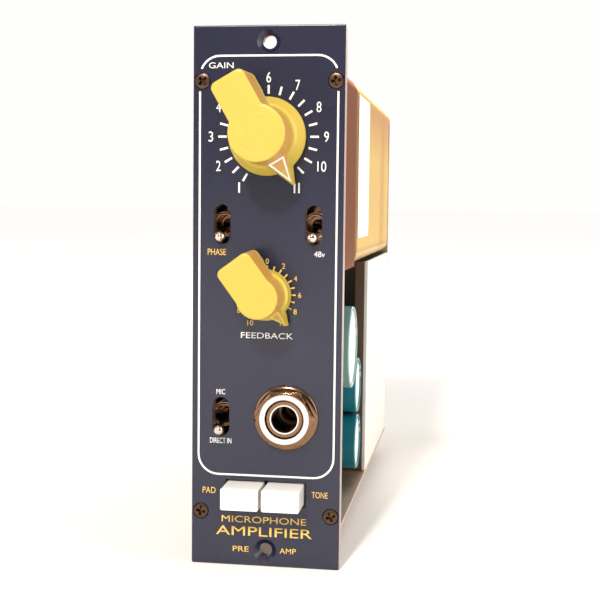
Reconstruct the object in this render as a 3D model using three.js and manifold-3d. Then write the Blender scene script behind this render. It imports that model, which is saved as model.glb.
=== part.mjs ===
// A single-channel microphone preamp module for a slotted rack of small plug-in units.
// Outer frame: millimetres, +Z up, +Y into the rack, origin at the centre of the panel's bottom edge.
// Everything is drawn in panel coordinates inside one turned group: x to the right, y up, z out of
// the panel towards the user, with the origin at the centre of the panel's front face. What lies
// behind the panel therefore has a negative z, and "depth" below means the distance behind that face.

import * as THREE from 'three';
import { mergeVertices } from 'three/addons/utils/BufferGeometryUtils.js';
import Module from 'manifold-3d';

const wasm = await Module();
wasm.setup();

// ---------------------------------------------------------------- driving dimensions (mm, degrees)

// Front panel
const panelWidth = 37.5;
const panelHeight = 133.35;
const panelThick = 3.2;
const rackHoleInset = 3.98;          // rack screw holes, from the top and bottom edges
const rackHoleRadius = 1.65;
const rackHoleRim = 2.85;
const rackHoleSink = 1.2;
const panelScrewSide = 2.35;         // panel screws, from the side edges
const panelScrewEnd = 13.4;          // panel screws, from the top and bottom edges

// Sheet-metal body
const sheet = 1;
const bodyDepth = 150;
const bodyLeftInset = 0.25;          // left wall, from the panel's left edge
const bodyRightInset = 1.15;         // right side, from the panel's right edge
const bodyTopInset = 9.2;
const bodyBottomInset = 7.2;
const topTabHeight = 6.5;
const bottomTabHeight = 8.1;
const topLipWidth = 4.4;
const cowlDepth = 36;
const canHeight = 50.5;
const canWall = 0.8;
const canBend = 3.6;
const coverFront = 75;
const coverFold = 4;
const coverFlange = 11.5;
const labelInset = 4.8;              // paper label, from the can's front
const labelLength = 30;
const labelHeight = 39.5;
const labelRise = 7.5;
const labelThick = 0.15;
const labelGap = 0.05;

// Clearances
const seat = 0.1;                    // between pieces that rest on each other
const fit = 0.15;                    // round a piece that passes through another
const running = 0.08;                // round a turning shaft

// Circuit boards
const boardThick = 1.6;
const spacerLength = 2.5;
const boardGap = 0.9;                // main board's front edge, behind the control board
const boardMargin = 2.5;
const tongueLength = 8;
const tongueHeight = 64;
const tongueRise = 54.3;             // middle of the tongue, from the body's bottom
const controlBoardSetback = 14.8;
const controlBoardHeight = 84;
const controlBoardSide = 3.6;

// Controls, placed from the panel's edges
const gainDrop = 26.8;
const toggleDrop = 48.1;
const feedbackDrop = 65.2;
const jackRise = 37.8;
const inputSwitchRise = 37.5;
const buttonRise = 18.55;
const toggleInset = 7.4;
const jackInset = 13.65;

// Knobs: radii from the shaft's axis, heights above the panel
const gainKnob = {
  angle: 150,                        // pointer, clockwise from the top
  skirt: 9.5,
  boss: 6.8,
  tailHalf: 4.7,
  tailEnd: 15.3,
  pointer: 13.5,
  height: 16,
  skirtTop: 5.4,
  recess: 7.5,
};
const feedbackKnob = {
  angle: 143.5,
  skirt: 6.3,
  boss: 5,
  tailHalf: 4.95,
  tailEnd: 10.9,
  pointer: 9.2,
  height: 14,
  skirtTop: 4.8,
  recess: 5.15,
};
const knobLift = 1;
const knobRecessTop = 3.9;
const knobCrown = 2.5;               // solid plastic above the shaft hole
const knobEdge = 0.4;
const skirtRim = 1.2;                // upright part of the skirt's side
const bossFlare = 0.6;               // boss's foot, beyond its top
const tailLift = 2;                  // tail's underside, above the skirt's
const tailCorner = 1.6;
const noseShare = 0.6;               // nose's half width, of the boss's radius
const noseStart = 0.8;               // where its sides turn in, of the boss's radius
const noseRise = 0.58;               // nose's height at the boss, of the knob's height
const noseTip = 0.35;
const noseTipRise = 1.6;
const setScrewRadius = 1.5;
const setScrewRise = 1.6;            // set screw's axis, above the skirt's top
const setScrewFlats = 1.4;
const setScrewSunk = 0.6;

// Potentiometers
const gainPot = { body: 10, length: 10.2, bushing: 4.7, shaft: 3.175, nutFlats: 12, washer: 6.9 };
const feedbackPot = { body: 8, length: 8.6, bushing: 3.6, shaft: 3, nutFlats: 8.5, washer: 4.8 };
const bushingRise = 3.4;
const washerThick = 0.5;
const potNutThick = 2;
const potShaftSunk = 1.5;            // shaft's rear end, inside the body's rear
const potLugs = { halfWidth: 0.8, reach: 1.2, from: 2, to: 4 };
const shaftChamfer = 0.5;
const shaftBelowTop = 3;             // shaft's front end, below the knob's top

// Toggle switches
const slotHalfWidth = 2.05;
const slotHalfHeight = 4.78;
const leverTilt = 17;
const leverLength = 11.6;
const leverTipRadius = 1.3;
const leverNeckRadius = 0.7;
const leverPivotRadius = 1.3;
const pivotSetback = 4.4;            // lever's pivot, behind the panel's back
const toggleBushing = 2.8;
const toggleBore = 2.25;
const toggleBushingSetback = 0.3;
const toggleBody = { halfWidth: 3.4, halfHeight: 6.4, setback: 6.2 };
const toggleBoreBehindPivot = 2.8;

// Jack socket
const plugRadius = 3.175;
const jackBushing = 4.7;
const jackFront = 3;
const jackNutFlats = 13.2;
const jackNutThick = 2;
const jackNutCollar = 6.1;
const jackWasher = 8.1;
const jackWasherThick = 0.9;
const jackNutCollarRise = 0.5;
const jackBody = { halfWidth: 7.3, halfHeight: 8.4, rear: 29 };
const jackBackWall = 1.5;
const jackBushingTail = 2;           // bushing's reach behind the panel

// Push buttons
const buttonWidth = 9.3;
const buttonHeight = 5.4;
const buttonSpace = 0.8;             // between the two caps
const buttonOut = 8;
const buttonTravel = 3;
const buttonGap = 0.4;
const buttonCorner = 0.5;
const buttonRear = 1.2;              // cap's rear, in front of the panel's back
const plungerLength = 5;
const plungerHalf = 1.6;
const pushSwitchHalf = 4.3;

// Transformers, capacitors and small parts
const core = { length: 36, height: 40, stack: 13, leg: 10, yoke: 5.5 };
const coilBulge = 6;
const coilCorner = 3;
const coilSpace = 0.4;               // between the winding and the open side of the can
const transformerInset = 4;
const bigCapacitor = { radius: 11.5, depth: 46.5, rise: 43 };
const smallCapacitor = { radius: 8.1, depth: 62.5, rise: 12.9, pitch: 16.9 };
const capacitorReach = 1;            // from the capacitors' ends to the body's right side
const capacitorEdge = { foot: 0.6, top: 0.7 };
const capacitorGroove = { rise: 4, depth: 0.8, halfWidth: 1 };
const filmCapacitorInset = { rear: 36, rise: 16 };
const filmCapacitorCorner = 1;
const transistorRears = [50, 30];    // transistors, from the body's rear
const transistorRise = 38;
const transistorEdge = 0.5;
const filmCapacitor = { length: 26, height: 16, width: 9 };
const transistor = { radius: 4.2, height: 6.6, rim: 4.7, rimThick: 0.7 };

// Fasteners
const flatScrew = { head: 1.85, headDepth: 1, shank: 0.95, recess: 0.5, reach: 1.15, recessDepth: 0.8 };
const panScrew = { head: 2.2, headHeight: 1.3, shank: 1.2, recess: 0.6, reach: 1.2, side: 0.6, crown: 1.6 };
const panelScrewSinkRoom = 0.25;     // countersink's rim, round a panel screw's head
const panelScrewTail = 2.1;          // panel screws' reach behind the panel
const spacerRadius = 2.2;
const boardScrewEnd = 7.5;           // board screws, from the body's top and bottom
const boardScrewFront = 8;           // and from the board's or the can's front
const boardScrewRear = 9;
const coverScrewSetbacks = [12, 45]; // cover screws, behind the cover's front
const coverScrewInset = 4;           // and from the flange's edge
const canScrewX = 4;
const canScrewEnd = 8;               // can screws, from the can's top and bottom

// ---------------------------------------------------------------- places worked out from them

const top = panelHeight / 2;
const bottom = -top;
const left = -panelWidth / 2;
const right = -left;
const panelBack = -panelThick;
const controlBoardDepth = panelThick + controlBoardSetback;
const boardFront = controlBoardDepth + boardThick + boardGap;
const pivotDepth = panelThick + pivotSetback;
const bodyLeft = left + bodyLeftInset;
const bodyRight = right - bodyRightInset;
const bodyTop = top - bodyTopInset;
const bodyBottom = bottom + bodyBottomInset;
const tabBack = panelBack - seat - sheet;
const boardLeft = bodyLeft + sheet + spacerLength;
const boardRight = boardLeft + boardThick;
const canFront = -(cowlDepth + 1);
const canBack = -(bodyDepth - sheet - 2 * seat);
const canBottom = bodyTop - canHeight;
const canLeft = boardRight + 3 * seat;
const coverTop = canBottom - 5 * seat;
const toggleY = top - toggleDrop;
const gainY = top - gainDrop;
const feedbackY = top - feedbackDrop;
const jackX = right - jackInset;
const jackY = bottom + jackRise;
const inputSwitchY = bottom + inputSwitchRise;
const buttonY = bottom + buttonRise;
const buttonPitch = buttonWidth + buttonSpace;
const toggleX = right - toggleInset;
const panelScrewX = right - panelScrewSide;
const panelScrewY = top - panelScrewEnd;
const capacitorEnd = bodyRight - capacitorReach;

// ---------------------------------------------------------------- shape helpers

const degrees = (angle) => (angle * Math.PI) / 180;

function toSolid(geometry) {
  const bare = geometry.clone();
  bare.deleteAttribute('normal');
  bare.deleteAttribute('uv');
  const merged = mergeVertices(bare, 1e-4);
  return new wasm.Manifold(new wasm.Mesh({
    numProp: 3,
    vertProperties: merged.attributes.position.array,
    triVerts: new Uint32Array(merged.index.array),
  }));
}

function toGeometry(solid) {
  const { vertProperties, triVerts } = solid.getMesh();
  const geometry = new THREE.BufferGeometry();
  geometry.setAttribute('position', new THREE.BufferAttribute(vertProperties, 3));
  geometry.setIndex(new THREE.BufferAttribute(triVerts, 1));
  geometry.computeVertexNormals();
  return geometry;
}

const combine = (how) => (first, ...others) => toGeometry(
  others.map(toSolid).reduce((solid, other) => solid[how](other), toSolid(first)),
);
const cut = combine('subtract');
const join = combine('add');
const common = combine('intersect');

// A block between two x, two y and two z values
function block(x0, x1, y0, y1, z0, z1) {
  const geometry = new THREE.BoxGeometry(x1 - x0, y1 - y0, z1 - z0);
  return geometry.translate((x0 + x1) / 2, (y0 + y1) / 2, (z0 + z1) / 2);
}

// A round post along z, which may taper to another radius at its upper end
function post(radius, z0, z1, { x = 0, y = 0, sides = 24, upper = radius } = {}) {
  const geometry = new THREE.CylinderGeometry(upper, radius, z1 - z0, sides);
  return geometry.rotateX(Math.PI / 2).translate(x, y, (z0 + z1) / 2);
}

function tube(radius, bore, z0, z1, { sides = 24 } = {}) {
  return cut(post(radius, z0, z1, { sides }), post(bore, z0 - 1, z1 + 1, { sides }));
}

// A solid of revolution about z, from [radius, z] points that start and end on the axis
function turned(profile, sides = 24) {
  const points = profile.map(([radius, z]) => new THREE.Vector2(radius, z));
  return new THREE.LatheGeometry(points, sides).rotateX(Math.PI / 2);
}

function prism(outline, z0, z1, segments = 8) {
  const options = { depth: z1 - z0, bevelEnabled: false, curveSegments: segments };
  return new THREE.ExtrudeGeometry(outline, options).translate(0, 0, z0);
}

// A hexagon whose flats are the given distance apart
function hexPrism(flats, z0, z1) {
  return post(flats / Math.sqrt(3), z0, z1, { sides: 6 });
}

function polygon(points) {
  return new THREE.Shape(points.map(([x, y]) => new THREE.Vector2(x, y)));
}

// A rectangle with a radius of its own at each corner
function rounded(x0, x1, y0, y1, { topLeft = 0, topRight = 0, lowRight = 0, lowLeft = 0 }) {
  const outline = new THREE.Shape();
  outline.moveTo(x0 + lowLeft, y0);
  outline.lineTo(x1 - lowRight, y0);
  if (lowRight) outline.absarc(x1 - lowRight, y0 + lowRight, lowRight, -Math.PI / 2, 0);
  outline.lineTo(x1, y1 - topRight);
  if (topRight) outline.absarc(x1 - topRight, y1 - topRight, topRight, 0, Math.PI / 2);
  outline.lineTo(x0 + topLeft, y1);
  if (topLeft) outline.absarc(x0 + topLeft, y1 - topLeft, topLeft, Math.PI / 2, Math.PI);
  outline.lineTo(x0, y0 + lowLeft);
  if (lowLeft) outline.absarc(x0 + lowLeft, y0 + lowLeft, lowLeft, Math.PI, 1.5 * Math.PI);
  return outline;
}

// A slot with round ends, upright, centred on x, y
function slot(x, y, halfWidth, halfHeight) {
  const reach = halfHeight - halfWidth;
  const outline = new THREE.Path();
  outline.absarc(x, y + reach, halfWidth, 0, Math.PI);
  outline.absarc(x, y - reach, halfWidth, Math.PI, 2 * Math.PI);
  outline.closePath();
  return outline;
}

function roundHole(x, y, radius) {
  return new THREE.Path().absarc(x, y, radius, 0, 2 * Math.PI);
}

function rectangleHole(x0, x1, y0, y1) {
  return new THREE.Path([[x0, y0], [x1, y0], [x1, y1], [x0, y1]].map(([x, y]) => new THREE.Vector2(x, y)));
}

// ---------------------------------------------------------------- assembly helpers

const finishes = {
  panel: { color: 0x2b2b45, roughness: 0.45, metalness: 0 },
  steel: { color: 0xd9c9b0, roughness: 0.4, metalness: 0.8 },
  gilded: { color: 0xb98a4a, roughness: 0.25, metalness: 0.9 },
  chrome: { color: 0xe0d2c0, roughness: 0.15, metalness: 1 },
  bronze: { color: 0x4a3726, roughness: 0.4, metalness: 0.8 },
  paper: { color: 0xf6f1e8, roughness: 0.8, metalness: 0 },
  board: { color: 0x1d2a20, roughness: 0.5, metalness: 0 },
  lamination: { color: 0x6b6460, roughness: 0.5, metalness: 0.7 },
  winding: { color: 0xc9a24a, roughness: 0.6, metalness: 0 },
  sleeve: { color: 0x1f8fa0, roughness: 0.4, metalness: 0 },
  film: { color: 0xc8402a, roughness: 0.4, metalness: 0 },
  black: { color: 0x1a1a1c, roughness: 0.5, metalness: 0 },
  brass: { color: 0xc9a45a, roughness: 0.35, metalness: 1 },
  yellow: { color: 0xf2d35c, roughness: 0.35, metalness: 0 },
  white: { color: 0xf7f5ef, roughness: 0.35, metalness: 0 },
};

const preamp = new THREE.Group();
const panelFrame = new THREE.Group();
panelFrame.rotation.x = Math.PI / 2;
panelFrame.position.set(0, -panelThick / 2, panelHeight / 2);
preamp.add(panelFrame);

function piece(name, geometry, finish, { at = [0, 0, 0], turn = [0, 0, 0], parent = panelFrame } = {}) {
  const mesh = new THREE.Mesh(geometry, new THREE.MeshStandardMaterial(finishes[finish]));
  mesh.name = name;
  mesh.position.set(...at);
  mesh.rotation.set(...turn);
  parent.add(mesh);
}

function turnedGroup(at, turn) {
  const group = new THREE.Group();
  group.position.set(...at);
  group.rotation.set(...turn);
  panelFrame.add(group);
  return group;
}

const alongX = [0, Math.PI / 2, 0];          // turns a piece drawn along z to point to the right
const backwards = [0, Math.PI, 0];           // turns it to point into the rack

// ---------------------------------------------------------------- fasteners

const panelScrews = [-1, 1].flatMap(
  (side) => [1, -1].map((end) => [side * panelScrewX, end * panelScrewY]),
);

function crossRecess(width, reach, z0, z1) {
  return join(
    block(-reach, reach, -width / 2, width / 2, z0, z1),
    block(-width / 2, width / 2, -reach, reach, z0, z1),
  );
}

function countersunkScrew(length) {
  const { head, headDepth, shank, recess, reach, recessDepth } = flatScrew;
  const body = turned([[0, -length], [shank, -length], [shank, -headDepth], [head, -seat], [0, -seat]], 16);
  return cut(body, crossRecess(recess, reach, -recessDepth, 1));
}

function panHeadScrew(length) {
  const { head, headHeight, shank, recess, reach, side, crown } = panScrew;
  const profile = [
    [0, -length], [shank, -length], [shank, 0], [head, 0],
    [head, side], [crown, headHeight], [0, headHeight],
  ];
  return cut(turned(profile, 14), crossRecess(recess, reach, side, headHeight + 1));
}

// ---------------------------------------------------------------- front panel

function frontPanel() {
  const outline = rounded(left, right, bottom, top, {});
  const rackHoleY = top - rackHoleInset;
  const buttonSpan = buttonPitch + buttonWidth;
  outline.holes.push(
    roundHole(0, rackHoleY, rackHoleRadius),
    roundHole(0, -rackHoleY, rackHoleRadius),
    roundHole(0, gainY, gainPot.bushing + fit),
    roundHole(0, feedbackY, feedbackPot.bushing + fit),
    roundHole(jackX, jackY, jackBushing + fit),
    slot(-toggleX, toggleY, slotHalfWidth, slotHalfHeight),
    slot(toggleX, toggleY, slotHalfWidth, slotHalfHeight),
    slot(-toggleX, inputSwitchY, slotHalfWidth, slotHalfHeight),
    rectangleHole(
      -buttonSpan / 2 - buttonGap, buttonSpan / 2 + buttonGap,
      buttonY - buttonHeight / 2 - buttonGap, buttonY + buttonHeight / 2 + buttonGap,
    ),
    ...panelScrews.map(([x, y]) => roundHole(x, y, flatScrew.shank + fit)),
  );
  const sinks = [rackHoleY, -rackHoleY].map((y) => post(
    rackHoleRadius, -rackHoleSink, 0.01, { y, sides: 18, upper: rackHoleRim },
  ));
  const screwSinks = panelScrews.map(([x, y]) => post(
    flatScrew.shank + fit, -flatScrew.headDepth - fit, 0.01,
    { x, y, sides: 16, upper: flatScrew.head + panelScrewSinkRoom },
  ));
  return cut(prism(outline, panelBack, 0, 9), ...sinks, ...screwSinks);
}

piece('front_panel', frontPanel(), 'panel');
panelScrews.forEach(([x, y], index) => {
  piece(`panel_screw_${index + 1}`, countersunkScrew(panelThick + panelScrewTail), 'bronze', {
    at: [x, y, 0],
  });
});

// ---------------------------------------------------------------- sheet-metal body

const boardScrewPlaces = [
  [boardFront + boardScrewFront, bodyBottom + boardScrewEnd],
  [bodyDepth - boardScrewRear, bodyBottom + boardScrewEnd],
  [cowlDepth + boardScrewFront, bodyTop - boardScrewEnd],
  [bodyDepth - boardScrewRear, bodyTop - boardScrewEnd],
];
const coverScrewPlaces = coverScrewSetbacks.map((setback) => coverFront + setback);
const coverScrewX = bodyRight - coverFlange + coverScrewInset;
const canScrewPlaces = [canBottom + canScrewEnd, bodyTop - canScrewEnd];
const tongueMiddle = bodyBottom + tongueRise;

// A hole for a screw that lies along x, through a wall on the left
function sideHole(depth, y, radius) {
  const drill = post(radius, -3 * sheet, 3 * sheet, { sides: 14 });
  return drill.rotateY(Math.PI / 2).translate(bodyLeft, y, -depth);
}

function chassis() {
  const rear = -bodyDepth;
  const folded = join(
    block(bodyLeft, bodyLeft + sheet, bodyBottom, bodyTop, rear, panelBack - seat),
    block(bodyLeft, bodyRight, bodyBottom, bodyBottom + sheet, rear, panelBack - seat),
    block(bodyLeft, bodyRight, bodyTop - topTabHeight, bodyTop, tabBack, panelBack - seat),
    block(bodyLeft, bodyRight, bodyBottom, bodyBottom + bottomTabHeight, tabBack, panelBack - seat),
    prism(rounded(bodyLeft, bodyRight, bodyBottom, bodyTop, { topRight: canBend }), rear, rear + sheet),
    block(bodyLeft, bodyLeft + topLipWidth, bodyTop - sheet, bodyTop, rear, canFront),
  );
  const tongueGap = 4 * fit;
  return cut(
    folded,
    block(
      boardLeft - tongueGap, boardRight + tongueGap,
      tongueMiddle - tongueHeight / 2 - tongueGap, tongueMiddle + tongueHeight / 2 + tongueGap,
      rear - 1, rear + sheet + 1,
    ),
    ...panelScrews.map(([x, y]) => post(flatScrew.shank + seat, tabBack - 1, panelBack + 1, {
      x, y, sides: 14,
    })),
    ...boardScrewPlaces.map(([depth, y]) => sideHole(depth, y, panScrew.shank + fit)),
    ...coverScrewPlaces.map((depth) => post(panScrew.shank + fit, -2 * sheet, 2 * sheet, { sides: 14 })
      .rotateX(Math.PI / 2).translate(coverScrewX, bodyBottom, -depth)),
    ...canScrewPlaces.map((y) => post(panScrew.shank + fit, rear - 1, rear + sheet + 1, {
      x: canScrewX, y, sides: 14,
    })),
  );
}

// The cowl covers the top and the right side behind the panel, and shares the upper panel screws
function frontCowl() {
  const front = tabBack - seat;
  const bend = { topRight: canBend };
  const innerBend = { topRight: canBend - canWall };
  const cowlLeft = bodyLeft + sheet + seat;
  const outer = prism(rounded(cowlLeft, bodyRight, canBottom, bodyTop, bend), -cowlDepth, front);
  const hollow = prism(
    rounded(cowlLeft - 1, bodyRight - canWall, canBottom - 1, bodyTop - canWall, innerBend),
    -cowlDepth - 1, front - canWall,
  );
  const opening = prism(
    rounded(cowlLeft - 1, bodyRight - canWall, canBottom - 1, bodyTop - topTabHeight, {}),
    front - canWall - 1, front + 1,
  );
  const screwRoom = panelScrews.map(([x, y]) => post(
    flatScrew.shank + 3 * fit, front - canBend, front + 1, { x, y },
  ));
  return cut(outer, hollow, opening, ...screwRoom);
}

// The shield can round the transformers: a drawn cover that is open towards the main board
function shieldCan() {
  const bends = (inset) => ({ topRight: canBend - inset, lowRight: canBend - inset });
  const shell = (inset, reach) => {
    const section = prism(
      rounded(canLeft - reach, bodyRight - inset, canBottom + inset, bodyTop - inset, bends(inset)),
      canBack, canFront,
    );
    const plan = prism(
      rounded(canLeft - reach, bodyRight - inset, canBack + inset, canFront - inset, bends(inset)),
      0, canHeight + 2,
    ).rotateX(Math.PI / 2).translate(0, bodyTop + 1, 0);
    return common(section, plan);
  };
  const screwHoles = canScrewPlaces.map((y) => post(
    panScrew.shank + fit, canBack - 1, canBack + 2, { x: canScrewX, y, sides: 14 },
  ));
  return cut(shell(0, 0), shell(canWall, 2), ...screwHoles);
}

function sideCover() {
  const low = bodyBottom + sheet + seat;
  const front = -coverFront;
  const rear = -(bodyDepth - sheet - seat);
  const folded = join(
    block(bodyRight - sheet, bodyRight, low, coverTop, rear, front),
    block(bodyRight - coverFold, bodyRight, low, coverTop, front - sheet, front),
    block(bodyRight - coverFlange, bodyRight, low, low + sheet, rear, front),
  );
  return cut(folded, ...coverScrewPlaces.map((depth) => post(panScrew.shank + fit, -3, 3, { sides: 14 })
    .rotateX(Math.PI / 2).translate(coverScrewX, low, -depth)));
}

const label = rounded(canFront - labelInset - labelLength, canFront - labelInset, 0, labelHeight, {
  topLeft: 1.5, topRight: 1.5, lowRight: 1.5, lowLeft: 1.5,
});

piece('chassis', chassis(), 'steel');
piece('front_cowl', frontCowl(), 'bronze');
piece('shield_can', shieldCan(), 'gilded');
piece('side_cover', sideCover(), 'steel');
piece('can_label', prism(label, 0, labelThick, 3), 'paper', {
  at: [bodyRight + labelGap + labelThick, canBottom + labelRise, 0], turn: [0, -Math.PI / 2, 0],
});
coverScrewPlaces.forEach((depth, index) => {
  piece(`cover_screw_${index + 1}`, panHeadScrew(3 * sheet), 'bronze', {
    at: [coverScrewX, bodyBottom - seat, -depth], turn: [Math.PI / 2, 0, 0],
  });
});
canScrewPlaces.forEach((y, index) => {
  piece(`can_screw_${index + 1}`, panHeadScrew(3 * sheet), 'bronze', {
    at: [canScrewX, y, -bodyDepth - seat], turn: backwards,
  });
});

// ---------------------------------------------------------------- circuit boards

// The main board stands on edge along the left wall, and its tongue plugs into the rack's socket
function mainBoard() {
  const rear = bodyDepth - sheet - 6 * seat;
  const low = bodyBottom + boardMargin;
  const high = bodyTop - boardMargin;
  const tongueLow = tongueMiddle - tongueHeight / 2;
  const tongueHigh = tongueMiddle + tongueHeight / 2;
  const tip = bodyDepth + tongueLength;
  const corner = 1;
  const outline = polygon([
    [boardFront, low], [rear, low],
    [rear, tongueLow], [tip - corner, tongueLow], [tip, tongueLow + corner],
    [tip, tongueHigh - corner], [tip - corner, tongueHigh], [rear, tongueHigh],
    [rear, high], [boardFront, high],
  ]);
  outline.holes.push(...boardScrewPlaces.map(([depth, y]) => roundHole(depth, y, panScrew.shank + fit)));
  return prism(outline, 0, boardThick, 6);
}

function controlBoard() {
  const low = bodyBottom + boardMargin;
  const side = bodyRight - controlBoardSide + 1;
  const outline = rounded(bodyLeft + controlBoardSide, side, low, low + controlBoardHeight, {});
  const { halfWidth, halfHeight } = jackBody;
  const room = 3 * fit;
  outline.holes.push(rectangleHole(
    jackX - halfWidth - room, jackX + halfWidth + room,
    jackY - halfHeight - room, jackY + halfHeight + room,
  ));
  return prism(outline, -controlBoardDepth - boardThick, -controlBoardDepth);
}

piece('main_board', mainBoard(), 'board', { at: [boardLeft, 0, 0], turn: [0, Math.PI / 2, 0] });
piece('control_board', controlBoard(), 'board');
boardScrewPlaces.forEach(([depth, y], index) => {
  const spacer = tube(spacerRadius, panScrew.shank + fit, seat, spacerLength - seat, { sides: 14 });
  piece(`board_spacer_${index + 1}`, spacer, 'brass', {
    at: [bodyLeft + sheet, y, -depth], turn: alongX,
  });
  piece(`board_screw_${index + 1}`, panHeadScrew(boardThick + spacerLength + sheet), 'bronze', {
    at: [boardRight + seat, y, -depth], turn: alongX,
  });
});

// ---------------------------------------------------------------- parts on the main board

const windowLength = (core.length - 3 * core.leg + 2 * (core.leg - core.yoke)) / 2;
const windowHeight = core.height - 2 * core.yoke;
const transformerY = (canBottom + bodyTop) / 2;
const transformerX = canLeft + core.stack / 2 + coilBulge + coilSpace;
const transformerDepths = {
  input: -canFront + transformerInset + core.length / 2,
  output: -canBack - transformerInset - core.length / 2,
};

// A stack of laminations with two windows, drawn about its own middle with its thickness along x
function transformerCore() {
  const { length, height, stack, leg } = core;
  const windows = [-1, 1].map((side) => {
    const inner = (side * leg) / 2;
    const outer = side * (leg / 2 + windowLength);
    const [z0, z1] = side > 0 ? [inner, outer] : [outer, inner];
    return block(-stack, stack, -windowHeight / 2, windowHeight / 2, z0, z1);
  });
  return cut(block(-stack / 2, stack / 2, -height / 2, height / 2, -length / 2, length / 2), ...windows);
}

// The winding fills both windows and bulges out on the core's two faces
function transformerCoil() {
  const gap = 2 * fit;
  const reach = core.leg / 2 + windowLength - gap;
  const bulge = core.stack / 2 + coilBulge;
  const half = windowHeight / 2 - gap;
  const section = rounded(-bulge, bulge, -reach, reach, {
    topLeft: coilCorner, topRight: coilCorner, lowRight: coilCorner, lowLeft: coilCorner,
  });
  section.holes.push(rectangleHole(
    -core.stack / 2 - gap, core.stack / 2 + gap, -core.leg / 2 - gap, core.leg / 2 + gap,
  ));
  return prism(section, -half, half, 4).rotateX(Math.PI / 2);
}

Object.entries(transformerDepths).forEach(([name, depth]) => {
  const at = [transformerX, transformerY, -depth];
  piece(`${name}_core`, transformerCore(), 'lamination', { at });
  piece(`${name}_coil`, transformerCoil(), 'winding', { at });
});

// A can on the board with a crimped groove near its base and a flat top with a soft edge
function capacitor(radius) {
  const length = capacitorEnd - boardRight - 2 * seat;
  const { foot, top: shoulder } = capacitorEdge;
  const { rise, depth, halfWidth } = capacitorGroove;
  return turned([
    [0, 0], [radius - foot, 0], [radius, foot],
    [radius, rise - halfWidth], [radius - depth, rise], [radius, rise + halfWidth],
    [radius, length - shoulder], [radius - shoulder, length], [0, length],
  ], 28);
}

const bigCapacitorY = bodyBottom + bigCapacitor.rise;
const smallCapacitorY = bodyBottom + smallCapacitor.rise;
const onBoard = (depth, y) => ({ at: [boardRight + seat, y, -depth], turn: alongX });
const bigPlace = onBoard(bigCapacitor.depth, bigCapacitorY);
piece('capacitor_upper', capacitor(bigCapacitor.radius), 'sleeve', bigPlace);
['capacitor_lower', 'capacitor_middle'].forEach((name, index) => {
  const y = smallCapacitorY + index * smallCapacitor.pitch;
  piece(name, capacitor(smallCapacitor.radius), 'sleeve', onBoard(smallCapacitor.depth, y));
});

function filmCapacitorBlock() {
  const { length, height, width } = filmCapacitor;
  const corner = filmCapacitorCorner;
  const soft = { topLeft: corner, topRight: corner, lowRight: corner, lowLeft: corner };
  return prism(rounded(-length / 2, length / 2, -height / 2, height / 2, soft), 0, width, 4);
}

function transistorCan() {
  const { radius, height, rim, rimThick } = transistor;
  return turned([
    [0, 0], [rim, 0], [rim, rimThick], [radius, rimThick],
    [radius, height - transistorEdge], [radius - transistorEdge, height], [0, height],
  ], 24);
}

const filmPlace = onBoard(bodyDepth - filmCapacitorInset.rear, bodyBottom + filmCapacitorInset.rise);
piece('film_capacitor', filmCapacitorBlock(), 'film', filmPlace);
transistorRears.forEach((rear, index) => {
  const place = onBoard(bodyDepth - rear, bodyBottom + transistorRise);
  piece(`transistor_${index + 1}`, transistorCan(), 'brass', place);
});

// ---------------------------------------------------------------- rotary controls

function potBody({ body, length, bushing, shaft }) {
  const rear = panelBack - seat - length;
  const outer = join(
    post(body, rear, panelBack - seat, { sides: 30 }),
    post(bushing, panelBack - 1, bushingRise),
    block(-body * potLugs.halfWidth, body * potLugs.halfWidth, -body - potLugs.reach, 0,
      rear + potLugs.from, rear + potLugs.to),
  );
  return cut(outer, post(shaft + running, rear + 1, bushingRise + 1));
}

function potShaft({ length, shaft }, end) {
  const rear = panelBack - length + potShaftSunk;
  return turned([
    [0, rear], [shaft, rear], [shaft, end - shaftChamfer], [shaft - shaftChamfer, end], [0, end],
  ]);
}

function potNut({ bushing, nutFlats }) {
  const low = 2 * seat + washerThick;
  return cut(hexPrism(nutFlats, low, low + potNutThick), post(bushing + fit, 0, 5));
}

// A pointer knob that points up: a round skirt and boss, a tall square tail and a low wedge of a nose
function pointerKnob({ skirt, boss, tailHalf, tailEnd, pointer, height, skirtTop, recess }, shaftRadius) {
  const round = turned([
    [0, knobLift], [skirt - knobEdge, knobLift], [skirt, knobLift + knobEdge], [skirt, knobLift + skirtRim],
    [boss + bossFlare, skirtTop], [boss, height - knobEdge], [boss - knobEdge, height], [0, height],
  ], 36);
  const tailOutline = rounded(-tailHalf, tailHalf, -tailEnd, 0, {
    lowRight: tailCorner, lowLeft: tailCorner,
  });
  const tail = prism(tailOutline, knobLift + tailLift, height, 5);
  const noseHalf = boss * noseShare;
  const noseTurn = boss * noseStart;
  const noseTop = height * noseRise;
  const plan = prism(polygon([
    [-noseHalf, 0], [noseHalf, 0], [noseHalf, noseTurn],
    [noseTip, pointer], [-noseTip, pointer], [-noseHalf, noseTurn],
  ]), knobLift, noseTop);
  const side = prism(polygon([
    [0, knobLift], [pointer, knobLift], [pointer, knobLift + noseTipRise], [boss, noseTop], [0, noseTop],
  ]), -skirt, skirt).rotateY(Math.PI / 2).rotateX(Math.PI / 2);
  const screwHole = post(setScrewRadius + fit, 0, skirt + 1, { sides: 16 }).rotateY(Math.PI / 2);
  return cut(
    join(round, tail, common(plan, side)),
    post(recess, knobLift - 1, knobRecessTop),
    post(shaftRadius + fit, knobLift, height - knobCrown),
    screwHole.translate(0, 0, skirtTop + setScrewRise),
  );
}

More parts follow.
